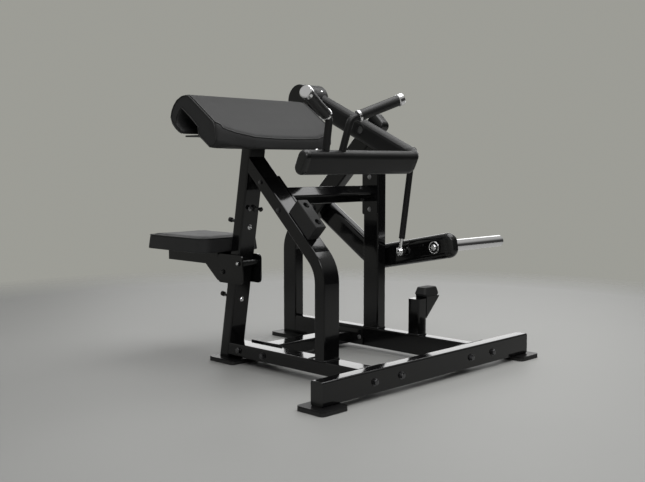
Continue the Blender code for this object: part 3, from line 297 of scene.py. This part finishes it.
flatNodes = {
    footPaint: ["foot_plate_front_near", "foot_plate_front_far", "foot_plate_column", "foot_plate_rear_leg"],
    glossPaint: ["brace_flange_near", "brace_flange_far", "stop_bracket"],
    satinPaint: ["arm_pad_plate"],
    moulded: ["rubber_foot_front_near", "rubber_foot_front_far", "rubber_foot_column",
              "rubber_foot_rear_leg"],
    seatPlywood: ["seat_board"],
}
curvedNodes = {
    glossPaint: ["front_crossbeam", "near_rail", "far_rail", "rear_crossbeam", "rear_bent_leg",
                 "upright_post", "seat_column", "near_bent_leg", "upper_crossbeam", "stop_post", "seat_rack",
                 "seat_carriage", "seat_bracket", "weight_arm"],
    satinPaint: ["lever_arm", "counterweight", "grip_post_near", "grip_post_far", "rod_tube", "horn_disc",
                 "lever_hub", "weight_arm_hub"],
    capPlastic: ["crossbeam_cap_near", "crossbeam_cap_far", "rear_leg_end_cap", "lever_end_cap",
                 "weight_arm_end_cap", "column_stop", "seat_front_roller", "seat_rear_pin"],
    chromePlate: ["grip_collar_near", "grip_collar_far", "grip_knob_near", "grip_knob_far", "weight_horn",
                  "ball_stud", "rod_lower_end"],
    zincPlate: ["lever_axle", "weight_arm_axle", "rod_upper_stud"],
    moulded: ["stop_bumper", "lever_stop_block"],
    gripRubber: ["grip_near", "grip_far"],
}
for look, names in flatNodes.items():
    for node in names:
        dressNode(node, look)
for look, names in curvedNodes.items():
    for node in names:
        dressNode(node, look)
        roundedCopy(node, look)
print("frame dressed")

# Fasteners
faceGap = 0.0002  # between a fastener and the face that it sits on
hexagon = {"sides": 6, "acrossOverRadius": 1.732}
boltTurn = 17.0  # degrees from one bolt to the next, because hand-tightened heads don't line up
washer = {"sides": 32, "gap": 0.0001}
hexBolt = {"across": 0.019, "tall": 0.0075, "chamfer": 0.0014, "washerRadius": 0.0135, "washerTall": 0.0018}
smallBolt = {"across": 0.013, "tall": 0.005, "chamfer": 0.001, "washerRadius": 0.0095, "washerTall": 0.0012}
domeScrew = {"radius": 0.0065, "tall": 0.0035, "seat": 0.0006, "sides": 28}


def addDisc(bm, radius, tall, base, sides):
    disc = bmesh.ops.create_cone(bm, cap_ends=True, segments=sides, radius1=radius, radius2=radius,
                                 depth=tall)["verts"]
    bmesh.ops.translate(bm, verts=disc, vec=(0, 0, base + tall / 2))
    return disc


def boltMesh(bm, place, way, settings, spin=0.0):
    flat = addDisc(bm, settings["washerRadius"], settings["washerTall"], 0.0, washer["sides"])
    head = addDisc(bm, settings["across"] / hexagon["acrossOverRadius"], settings["tall"],
                   settings["washerTall"] + washer["gap"], hexagon["sides"])
    rims = {edge for vert in head for edge in vert.link_edges
            if all(v.co.z > settings["tall"] for v in edge.verts)}
    bevelled = bmesh.ops.bevel(bm, geom=list(rims), offset=settings["chamfer"], segments=2, profile=0.5,
                               affect="EDGES", material=-1)["verts"]
    moved = {v for v in list(flat) + list(head) + list(bevelled) if v.is_valid}
    bmesh.ops.transform(bm, matrix=Matrix.Translation(place) @ aim(way, spin), verts=list(moved))


def boltSet(name, places, way, look, body, settings=hexBolt):
    bm = bmesh.new()
    for number, place in enumerate(places):
        boltMesh(bm, place, way, settings, boltTurn * number)
    return finishPiece(name, bm, look, body)


def turned(name, outline, place, way, look, body, sides=36, smooth=40.0):  # its outline: (radius, height)
    bm = bmesh.new()
    corners = [bm.verts.new((radius, 0.0, height)) for radius, height in outline]
    ring = [bm.edges.new(pair) for pair in zip(corners, corners[1:])]
    bmesh.ops.spin(bm, geom=corners + ring, cent=(0, 0, 0), axis=(0, 0, 1), angle=math.tau, steps=sides,
                   use_merge=True)
    bmesh.ops.transform(bm, matrix=Matrix.Translation(place) @ aim(way), verts=bm.verts[:])
    return finishPiece(name, bm, look, body, smooth)


def dome(name, place, way, look, body, settings=domeScrew):
    outline = [(0.0, 0.0), (settings["radius"], 0.0)]
    for turn in (0, 22, 45, 68):
        outline.append((settings["radius"] * math.cos(math.radians(turn)),
                        settings["seat"] + settings["tall"] * math.sin(math.radians(turn))))
    outline.append((0.0, settings["seat"] + settings["tall"]))
    return turned(name, outline, place, way, look, body, settings["sides"])


endPlate = {"wide": 0.172, "tall": 0.078, "thick": 0.006, "bevel": 0.0012, "gap": 0.0004, "boltSpread": 0.069}
beamBolts = {"height": 0.057, "ways": (-0.336, -0.199, 0.204, 0.343)}


def plateMesh(name, centre, size, look, body):
    bm = bmesh.new()
    bmesh.ops.create_cube(bm, size=1.0)
    bmesh.ops.scale(bm, vec=size, verts=bm.verts[:])
    bmesh.ops.bevel(bm, geom=bm.edges[:], offset=endPlate["bevel"], segments=2, profile=0.5, affect="EDGES",
                    material=-1)
    bmesh.ops.translate(bm, vec=centre, verts=bm.verts[:])
    return finishPiece(name, bm, look, body)


plateX = beamLow[0] - endPlate["gap"] - endPlate["thick"] / 2
for side, rail in (("near", "near_rail"), ("far", "far_rail")):
    centre = Vector((plateX, middle(rail).y, beamBolts["height"]))
    size = (endPlate["thick"], endPlate["wide"], endPlate["tall"])
    plateMesh(side + "RailEndPlate", centre, size, glossPaint, "frame")
    nuts = [centre + Vector((-endPlate["thick"] / 2, way * endPlate["boltSpread"], 0.0)) for way in (-1, 1)]
    boltSet(side + "RailNuts", nuts, (-1, 0, 0), zincPlate, "frame", smallBolt)
boltSet("crossbeamBolts", [at(faceGap, way, beamBolts["height"]) for way in beamBolts["ways"]], (1, 0, 0),
        blackOxide, "frame")

rearPlate = {"tall": 0.064, "gap": 0.0002}
railBolts = {"x": (-0.7244, -0.5869), "height": 0.0525}
rearBeamLow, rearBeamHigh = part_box("rear_crossbeam")
rearSides = {"near": (rearBeamLow[1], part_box("near_rail")[0][1], -1),
             "far": (rearBeamHigh[1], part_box("far_rail")[1][1], 1)}
for side, (endY, outerY, outward) in rearSides.items():
    inward = -outward
    centre = at(sum(railBolts["x"]) / 2, 0.0, railBolts["height"])
    centre.y = endY + inward * (endPlate["thick"] / 2 + rearPlate["gap"])
    size = (endPlate["wide"], endPlate["thick"], rearPlate["tall"])
    plateMesh(side + "RearPlate", centre, size, glossPaint, "frame")
    inner = [at(x, 0.0, railBolts["height"]) for x in railBolts["x"]]
    outer = [place.copy() for place in inner]
    for place in inner:
        place.y = centre.y + inward * endPlate["thick"] / 2
    for place in outer:
        place.y = outerY + outward * faceGap
    boltSet(side + "RearPlateNuts", inner, (0, inward, 0), zincPlate, "frame", smallBolt)
    boltSet(side + "RailBolts", outer, (0, outward, 0), blackOxide, "frame")

# Each bolt's place: x and height
braceBolts = {"near": ((-0.5927, 0.7036), (-0.4965, 0.6036)), "far": ((-0.533, 0.587), (-0.533, 0.7192))}
legLow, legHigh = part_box("near_bent_leg")
braceSides = {"near": (legLow[1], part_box("brace_flange_near")[1][1], -1),
              "far": (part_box("upright_post")[1][1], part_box("brace_flange_far")[0][1], 1)}
for side, (outerY, innerY, outward) in braceSides.items():
    heads = [at(x, 0.0, z) for x, z in braceBolts[side]]
    nuts = [place.copy() for place in heads]
    for place in heads:
        place.y = outerY + outward * faceGap
    for place in nuts:
        place.y = innerY - outward * faceGap
    boltSet(side + "BraceBolts", heads, (0, outward, 0), blackOxide, "frame", smallBolt)
    boltSet(side + "BraceNuts", nuts, (0, -outward, 0), zincPlate, "frame", smallBolt)

column = {"lean": 9.85, "foot": (-0.8165, -0.2665, 0.017), "face": 0.0252}
columnFront = slopeWay(-column["lean"])
columnUp = slopeWay(90.0 - column["lean"])


def onColumn(height, out):  # a place on the leaning column: out is forward of its middle line
    climb = (height - column["foot"][2]) / columnUp.z
    return at(*column["foot"]) + columnUp * climb + columnFront * out


rackBolts = {"heights": (0.535, 0.252)}
boltSet("rackBolts", [onColumn(height, column["face"]) for height in rackBolts["heights"]], columnFront,
        chromePlate, "frame", smallBolt)

rackKnob = {"heights": (0.5487, 0.2555), "aside": -0.030,
            "outline": [(0.0, 0.0), (0.006, 0.0), (0.006, 0.020), (0.0092, 0.021), (0.0095, 0.022),
                        (0.0095, 0.033), (0.0082, 0.0345), (0.0, 0.0345)]}
for side, height in zip(("upper", "lower"), rackKnob["heights"]):
    place = onColumn(height, -column["face"])
    place.y += rackKnob["aside"]
    turned(side + "RackKnob", rackKnob["outline"], place, -columnFront, capPlastic, "frame")

stopScrew = {"height": 0.607, "out": 0.0250, "aside": 0.026, "long": 0.024, "radius": 0.0063,
             "headSunk": 0.0005, "nutAside": 0.034}
stopPlace = onColumn(stopScrew["height"], stopScrew["out"])
stopPlace.y += stopScrew["aside"]
shankOutline = [(0.0, 0.0), (stopScrew["radius"], 0.0), (stopScrew["radius"], stopScrew["long"]),
                (0.0, stopScrew["long"])]
turned("stopScrewShank", shankOutline, stopPlace, columnFront, zincPlate, "frame")
headPlace = stopPlace + columnFront * (stopScrew["long"] - stopScrew["headSunk"])
boltSet("stopScrewHead", [headPlace], columnFront, capPlastic, "frame", smallBolt)
nutPlace = stopPlace - Vector((0.0, stopScrew["nutAside"], 0.0)) + columnFront * faceGap
boltSet("stopClampNut", [nutPlace], columnFront, zincPlate, "frame", smallBolt)

seatHeads = {"RollerScrew": ("seat_front_roller", chromePlate), "PinHead": ("seat_rear_pin", capPlastic)}
headGap = 0.0001
for side, way in (("near", -1), ("far", 1)):
    for name, (node, look) in seatHeads.items():
        low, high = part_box(node)
        place = middle(node)
        place.y = (low if way < 0 else high)[1] + way * headGap
        dome(side + name, place, (0, way, 0), look, "seat")
print("fasteners made")

# Lever, counterweight, weight arm and rod trim
weightMiddle = middle("counterweight")
weightLow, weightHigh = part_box("counterweight")
weightRadius = (weightHigh[2] - weightLow[2]) / 2
weightTrim = {"slope": 33.0, "bolt": 0.085, "boltSunk": 0.0008, "plug": 0.052, "plugSunk": 0.0004,
              "plugOutline": [(0.0, 0.0008), (0.0026, 0.0008), (0.0032, 0.0014), (0.0045, 0.0014),
                              (0.0048, 0.0), (0.0, 0.0)]}
weightOut = slopeWay(weightTrim["slope"])


def onWeight(along, sunk):  # on the counterweight's sloping side, along it from its near end
    return Vector((weightMiddle.x, weightLow[1] + along, weightMiddle.z)) + weightOut * (weightRadius - sunk)


dome("weightSetBolt", onWeight(weightTrim["bolt"], weightTrim["boltSunk"]), weightOut, chromePlate, "lever")
turned("weightPlug", weightTrim["plugOutline"], onWeight(weightTrim["plug"], weightTrim["plugSunk"]),
       weightOut, moulded, "lever")

leverScrew = {"across": 0.006, "along": 0.052, "sunk": 0.0007}
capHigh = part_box("lever_end_cap")[1]
screwPlace = Vector((middle("lever_end_cap").x + leverScrew["across"], capHigh[1] + leverScrew["along"],
                     capHigh[2] - leverScrew["sunk"]))
dome("leverTopScrew", screwPlace, (0, 0, 1), chromePlate, "lever")

discMiddle = middle("horn_disc")
discTrim = {"ringRadius": 0.0222, "ringThick": 0.0019, "ringSides": 48, "gap": 0.0003,
            "dome": {"radius": 0.0128, "tall": 0.0075, "seat": 0.0008, "sides": 40}}
ringOutline = [(discTrim["ringRadius"] + discTrim["ringThick"] * math.cos(math.radians(turn)),
                discTrim["ringThick"] * math.sin(math.radians(turn))) for turn in range(0, 361, 45)]
discFace = Vector((discMiddle.x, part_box("horn_disc")[0][1] - discTrim["gap"], discMiddle.z))
turned("hornRing", ringOutline, discFace, (0, -1, 0), chromePlate, "weight_arm", discTrim["ringSides"],
       smooth=60.0)
dome("hornDome", discFace, (0, -1, 0), chromePlate, "weight_arm", discTrim["dome"])

rodEye = {"ball": {"radius": 0.0138, "tall": 0.0085, "seat": 0.001, "sides": 40},
          "socketOutline": [(0.0, 0.0), (0.0042, 0.0), (0.0042, 0.0006), (0.0, 0.0006)],
          "socketShift": (0.004, -0.0088, 0.003)}
eyePlace = middle("ball_stud")
eyePlace.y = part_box("rod_lower_end")[0][1] - faceGap
dome("rodEyeBall", eyePlace, (0, -1, 0), chromePlate, "rod", rodEye["ball"])
turned("rodEyeSocket", rodEye["socketOutline"], eyePlace + Vector(rodEye["socketShift"]), (0, -1, 0), moulded,
       "rod")
print("trim made")


# Tubes along a path: piping and weld beads
def evenly(points, closed, step):
    run = points + points[:1] if closed else points
    lengths = [0.0]
    for first, second in zip(run, run[1:]):
        lengths.append(lengths[-1] + (second - first).length)
    count = max(8, round(lengths[-1] / step))
    spread = []
    piece = 0
    for number in range(count if closed else count + 1):
        reach = lengths[-1] * number / count
        while piece < len(run) - 2 and lengths[piece + 1] < reach:
            piece += 1
        span = max(lengths[piece + 1] - lengths[piece], 1e-9)
        spread.append(run[piece].lerp(run[piece + 1], min(1.0, (reach - lengths[piece]) / span)))
    return spread


def pipeAlong(name, paths, radius, look, body):
    curve = bpy.data.curves.new(name, "CURVE")
    curve.dimensions = "3D"
    curve.bevel_depth = radius
    curve.bevel_resolution = 2
    curve.use_fill_caps = True
    for points, closed in paths:
        spline = curve.splines.new("POLY")
        spline.points.add(len(points) - 1)
        for point, place in zip(spline.points, points):
            point.co = (*place, 1.0)
        spline.use_cyclic_u = closed
    holder = bpy.data.objects.new(name + "Path", curve)
    bpy.context.scene.collection.objects.link(holder)
    bpy.context.view_layer.update()
    mesh = bpy.data.meshes.new_from_object(holder.evaluated_get(bpy.context.evaluated_depsgraph_get()))
    bpy.data.objects.remove(holder, do_unlink=True)
    mesh.name = name
    return dressMesh(name, mesh, look, body, smooth=60.0)


def ridgePath(bm, isFirst, isSecond, shift=(0, 0, 0), step=0.006):  # where two kinds of face meet
    beside = {}
    for edge in bm.edges:
        if len(edge.link_faces) == 2:
            one, other = (face.normal for face in edge.link_faces)
            if (isFirst(one) and isSecond(other)) or (isFirst(other) and isSecond(one)):
                for vert, mate in (edge.verts, reversed(edge.verts)):
                    beside.setdefault(vert.index, []).append(mate.index)
    bm.verts.ensure_lookup_table()
    ends = [number for number, mates in beside.items() if len(mates) == 1]
    walk = [min(ends or beside, key=lambda number: tuple(bm.verts[number].co))]
    while True:
        onward = [mate for mate in beside[walk[-1]] if mate not in walk]
        if not onward:
            break
        walk.append(onward[0])
    points = [bm.verts[number].co + Vector(shift) for number in walk]
    bm.free()
    closed = not ends
    return evenly(points, closed, step), closed


# Upholstery
seatLow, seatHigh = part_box("seat_cushion")
seatForm = {"low": 0.4302, "high": 0.4865, "inset": 0.006, "corners": {-1: (0.014, 4), 1: (0.045, 8)},
            "nearby": 0.001}


def seatBlock():  # fuller than its solid, wider at its base, and squarer at its back corners
    bm = bmesh.new()
    bmesh.ops.create_cube(bm, size=1.0)
    size = (seatHigh[0] - seatLow[0], seatHigh[1] - seatLow[1], seatForm["high"] - seatForm["low"])
    bmesh.ops.scale(bm, vec=size, verts=bm.verts[:])
    for way, (corner, segments) in seatForm["corners"].items():
        upright = []
        for edge in bm.edges:
            ends = [vert.co for vert in edge.verts]
            atEnd = all(way * end.x > size[0] / 2 - seatForm["nearby"] for end in ends)
            atSide = all(abs(end.y) > size[1] / 2 - seatForm["nearby"] for end in ends)
            if atEnd and atSide and abs(ends[0].z - ends[1].z) > size[2] / 2:
                upright.append(edge)
        bmesh.ops.bevel(bm, geom=upright, offset=corner, segments=segments, profile=0.5, affect="EDGES",
                        material=-1)
    top = [v for v in bm.verts if v.co.z > 0]
    inset = [1 - 2 * seatForm["inset"] / length for length in size[:2]]
    bmesh.ops.scale(bm, vec=(*inset, 1.0), verts=top)
    centre = ((seatLow[0] + seatHigh[0]) / 2, (seatLow[1] + seatHigh[1]) / 2,
              (seatForm["low"] + seatForm["high"]) / 2)
    bmesh.ops.translate(bm, vec=centre, verts=bm.verts[:])
    bm.normal_update()
    return bm


stuffing = {"quality": 5, "stretch": 60.0, "lastFrame": 20}


def inflated(settings):  # a pad's form, swollen by cloth under pressure and capped
    bm = settings["form"]()
    mesh = bpy.data.meshes.new("workPad")
    bm.to_mesh(mesh)
    bm.free()
    work = bpy.data.objects.new("workPad", mesh)
    bpy.context.scene.collection.objects.link(work)
    remesh = work.modifiers.new("remesh", "REMESH")
    remesh.mode = "VOXEL"
    remesh.voxel_size = settings["voxel"]
    bpy.context.view_layer.update()
    dressed = bpy.data.meshes.new_from_object(work.evaluated_get(bpy.context.evaluated_depsgraph_get()))
    work.modifiers.clear()
    work.data = dressed
    start = [v.co.copy() for v in dressed.vertices]
    held = work.vertex_groups.new(name="held")
    free = []
    for vert in dressed.vertices:
        weight = settings["hold"](vert)
        free.append(1.0 - weight)
        held.add([vert.index], weight, "REPLACE")
    settled = dressed
    cloth = work.modifiers.new("cloth", "CLOTH")
    cloth.settings.quality = stuffing["quality"]
    cloth.settings.tension_stiffness = stuffing["stretch"]
    cloth.settings.compression_stiffness = stuffing["stretch"]
    cloth.settings.bending_stiffness = settings["stiff"]
    cloth.settings.use_pressure = True
    cloth.settings.uniform_pressure_force = settings["pressure"]
    cloth.settings.vertex_group_mass = "held"
    cloth.settings.effector_weights.gravity = 0.0
    cloth.point_cache.frame_start = 1
    cloth.point_cache.frame_end = stuffing["lastFrame"]
    for step in range(1, stuffing["lastFrame"] + 1):
        bpy.context.scene.frame_set(step)
    settled = bpy.data.meshes.new_from_object(work.evaluated_get(bpy.context.evaluated_depsgraph_get()))
    bpy.context.scene.frame_set(1)
    for vert, origin, share in zip(settled.vertices, start, free):
        move = (vert.co - origin) * share
        if move.length > settings["cap"]:
            move = move.normalized() * settings["cap"]
        vert.co = origin + move
    bm = bmesh.new()
    bm.from_mesh(settled)
    for turn in range(settings["smoothing"]):
        bmesh.ops.smooth_vert(bm, verts=bm.verts[:], factor=0.5, use_axis_x=True, use_axis_y=True,
                              use_axis_z=True)
    bpy.data.objects.remove(work, do_unlink=True)
    return bm


def armPadBlock():
    return mergedCopy("arm_pad_cushion")


# How firmly a pad is held, from 0 to 1, by the way that its surface faces
armPadHold = {"base": -0.55, "end": 0.8, "elsewhere": 0.15}
seatPadHold = {"base": -0.5, "top": 0.5, "elsewhere": 0.5}


def holdArmPad(vert):
    fast = vert.normal.z < armPadHold["base"] or abs(vert.normal.y) > armPadHold["end"]
    return 1.0 if fast else armPadHold["elsewhere"]


def holdSeatPad(vert):
    if vert.normal.z < seatPadHold["base"]:
        return 1.0
    return 0.0 if vert.normal.z > seatPadHold["top"] else seatPadHold["elsewhere"]


armPad = {"form": armPadBlock, "hold": holdArmPad, "voxel": 0.0050, "pressure": 3.0, "stiff": 8.0,
          "cap": 0.005, "smoothing": 2}
seatPad = {"form": seatBlock, "hold": holdSeatPad, "voxel": 0.0045, "pressure": 3.0, "stiff": 8.0,
           "cap": 0.006, "smoothing": 1}


def makePad(name, node, body, settings):
    bm = inflated(settings)
    bmesh.ops.recalc_face_normals(bm, faces=bm.faces[:])
    mesh = bpy.data.meshes.new(name)
    bm.to_mesh(mesh)
    bm.free()
    pad = dressMesh(name, mesh, padVinyl, body, smooth=60.0, replaced=[node])
    rounding = pad.modifiers.new("rounding", "SUBSURF")
    rounding.levels = 1
    rounding.render_levels = 1
    return pad


makePad("armPadVinyl", "arm_pad_cushion", "frame", armPad)
makePad("seatVinyl", "seat_cushion", "seat", seatPad)

# How nearly a face points a way, to count as the pad's end, top or front
facing = {"end": 0.95, "padTop": 0.86, "padFront": 0.3, "seatTop": 0.6}
piping = {"radius": 0.0021, "second": 0.009, "seatDrop": 0.001, "seatStep": 0.004}
padTopWay = Vector((0.586, 0.0, 0.810))  # the arm pad's sloping top faces this way


def isPadTop(normal):
    return normal.dot(padTopWay) > facing["padTop"]


padPaths = []
for way in (-1, 1):
    padPaths.append(ridgePath(armPadBlock(), lambda normal: normal.y * way > facing["end"],
                              lambda normal: normal.y * way <= facing["end"]))
for drop in (0.0, piping["second"]):
    padPaths.append(ridgePath(armPadBlock(), isPadTop,
                              lambda normal: normal.x > facing["padFront"] and not isPadTop(normal),
                              (0.0, 0.0, -drop)))
pipeAlong("armPadPiping", padPaths, piping["radius"], pipingLook, "frame")
seatEdge = ridgePath(seatBlock(), lambda normal: normal.z > facing["seatTop"],
                     lambda normal: abs(normal.z) <= facing["seatTop"], (0.0, 0.0, -piping["seatDrop"]),
                     piping["seatStep"])
pipeAlong("seatPiping", [seatEdge], piping["radius"], pipingLook, "seat")
print("upholstery made")

# Weld beads, where a tube stands on another
bead = {"radius": 0.0028, "corner": 0.006, "proud": 0.0006, "rise": 0.001, "step": 0.004}
halfTube = {"wide": 0.040, "thin": 0.025, "stopPost": 0.0275}


def beadLoop(centre, across, up, halfAcross, halfUp):
    across = Vector(across).normalized()
    up = Vector(up).normalized()
    corner = bead["corner"]
    points = []
    for quarter, (sideways, upwards) in enumerate(((1, 1), (-1, 1), (-1, -1), (1, -1))):
        inner = centre + across * sideways * (halfAcross - corner) + up * upwards * (halfUp - corner)
        for turn in (0, 30, 60, 90):
            angle = math.radians(90 * quarter + turn)
            reach = corner + bead["proud"]
            points.append(inner + across * math.cos(angle) * reach + up * math.sin(angle) * reach)
    return evenly(points, True, bead["step"]), True


def footBead(node, halfX, halfY, centreX):  # round a tube where it stands on a rail
    centre = Vector((centreX, middle(node).y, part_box(node)[0][2] + bead["rise"]))
    return beadLoop(centre, (1, 0, 0), (0, 1, 0), halfX, halfY)


beads = [
    footBead("upright_post", halfTube["wide"], halfTube["thin"], middle("upright_post").x),
    footBead("stop_post", halfTube["stopPost"], halfTube["thin"], middle("stop_post").x),
    footBead("near_bent_leg", halfTube["wide"], halfTube["wide"], legHigh[0] - halfTube["wide"]),
]
pipeAlong("frameBeads", beads, bead["radius"], glossPaint, "frame")
print("welds made")

# Stage, lights and camera
floor = {"half": 12.0, "dark": (0.335, 0.335, 0.322), "light": (0.410, 0.410, 0.395), "mottle": 0.8,
         "rough": 0.5, "roughSpread": 0.2, "fadeFrom": 2.4, "fadeTo": 3.2}
wallColour = (0.335, 0.335, 0.305)
# What gloss and metal mirror: a bright wall on one side, a dark one on the other, and a pale ceiling
room = {"bright": (0.27, 0.27, 0.255), "dark": (0.035, 0.035, 0.034), "ceiling": (0.42, 0.42, 0.41),
        "darkSide": (0.70, 0.71, 0.0), "sideFrom": 0.05, "sideTo": 0.60, "upFrom": 0.15, "upTo": 0.60,
        "ambient": 0.16, "ambientColour": (0.95, 0.97, 1.0)}


def makeFloor():
    bm = bmesh.new()
    bmesh.ops.create_grid(bm, x_segments=1, y_segments=1, size=floor["half"])
    mesh = bpy.data.meshes.new("studioFloor")
    bm.to_mesh(mesh)
    bm.free()
    look = Look("studioFloor", None)
    radius = look.node("ShaderNodeVectorMath", {"operation": "LENGTH"}, {0: look.point}, output="Value")
    fade = look.node("ShaderNodeMapRange", inputs={0: radius, 1: floor["fadeFrom"], 2: floor["fadeTo"],
                                                   3: 0.0, 4: 1.0})
    mottle = look.noise(floor["mottle"], detail=6.0)
    look.feed("Base Color", look.blendColours(mottle, floor["dark"], floor["light"]))
    look.feed("Roughness", mottle * floor["roughSpread"] + floor["rough"])
    clear = look.node("ShaderNodeBsdfTransparent")
    solid = Wire(look, look.shader.outputs[0])
    faded = look.node("ShaderNodeMixShader", inputs={0: fade, 1: solid, 2: clear})
    look.tree.links.new(faded.socket, look.tree.nodes["Material Output"].inputs["Surface"])
    mesh.materials.append(look.material)
    sheet = bpy.data.objects.new("studioFloor", mesh)
    bpy.context.scene.collection.objects.link(sheet)


def makeWorld():
    world = bpy.data.worlds.new("studioAir")
    world.use_nodes = True
    bpy.context.scene.world = world
    world.node_tree.nodes.clear()
    air = Graph(world.node_tree)
    way = air.node("ShaderNodeTexCoord", output="Generated")
    side = air.node("ShaderNodeVectorMath", {"operation": "DOT_PRODUCT"}, {0: way, 1: room["darkSide"]},
                    output="Value")
    rise = air.node("ShaderNodeSeparateXYZ", inputs={0: way}, output="Z")
    shade = air.node("ShaderNodeMapRange", {"interpolation_type": "SMOOTHSTEP"},
                     {0: side, 1: room["sideFrom"], 2: room["sideTo"], 3: 0.0, 4: 1.0})
    above = air.node("ShaderNodeMapRange", {"interpolation_type": "SMOOTHSTEP"},
                     {0: rise, 1: room["upFrom"], 2: room["upTo"], 3: 0.0, 4: 1.0})
    sides = air.blendColours(shade, room["bright"], room["dark"])
    tone = air.node("ShaderNodeMix", {"data_type": "RGBA"}, {0: above, 6: sides, 7: (*room["ceiling"], 1.0)},
                    output=2)
    walls = air.node("ShaderNodeBackground", inputs={"Color": tone})
    ambient = air.node("ShaderNodeBackground", inputs={"Color": (*room["ambientColour"], 1.0),
                                                       "Strength": room["ambient"]})
    backdrop = air.node("ShaderNodeBackground", inputs={"Color": (*wallColour, 1.0)})
    glossy = air.node("ShaderNodeLightPath", output="Is Glossy Ray")
    seen = air.node("ShaderNodeLightPath", output="Is Camera Ray")
    through = air.node("ShaderNodeLightPath", output="Is Transmission Ray")
    lit = air.node("ShaderNodeMixShader", inputs={0: glossy, 1: ambient, 2: walls})
    both = air.node("ShaderNodeMixShader", inputs={0: seen.maths("MAXIMUM", through), 1: lit, 2: backdrop})
    air.node("ShaderNodeOutputWorld", inputs={"Surface": both})


makeFloor()
makeWorld()
softboxes = {
    "overhead": {"place": (0.5, 0.60, 3.4), "target": (0.5, 0.60, 0.0), "size": (2.8, 4.3), "power": 114.0},
    "backWindow": {"place": (-3.4, 4.0, 1.9), "target": (0.0, 0.0, 0.3), "size": (5.5, 2.2), "power": 58.0},
    "frontFill": {"place": (2.9, -2.6, 3.0), "target": (0.0, 0.0, 0.6), "size": (1.8, 1.0), "power": 34.0},
}
for name, box in softboxes.items():
    light = bpy.data.lights.new(name, "AREA")
    light.shape = "RECTANGLE"
    light.size, light.size_y = box["size"]
    light.energy = box["power"]
    lamp = bpy.data.objects.new(name, light)
    bpy.context.scene.collection.objects.link(lamp)
    lamp.visible_camera = False
    lamp.location = box["place"]
    lamp.rotation_euler = (Vector(box["target"]) - Vector(box["place"])).to_track_quat("-Z", "Y").to_euler()

# The photograph's view: lengths in metres, turns in radians, and the focal length in its own pixels
photoView = {"place": at(1.9547, -2.5755, 0.7711), "pitch": 0.0836, "heading": 0.7758,
             "focalPixels": 917.68, "imageWidth": 645.0, "sensor": 36.0}
cameraData = bpy.data.cameras.new("photoCamera")
cameraData.sensor_width = photoView["sensor"]
cameraData.lens = photoView["focalPixels"] / photoView["imageWidth"] * photoView["sensor"]
camera = bpy.data.objects.new("photoCamera", cameraData)
bpy.context.scene.collection.objects.link(camera)
camera.location = photoView["place"]
camera.rotation_euler = (math.pi / 2 - photoView["pitch"], 0.0, photoView["heading"])
bpy.context.scene.camera = camera
bpy.context.scene.view_settings.view_transform = "Standard"
print("stage made")
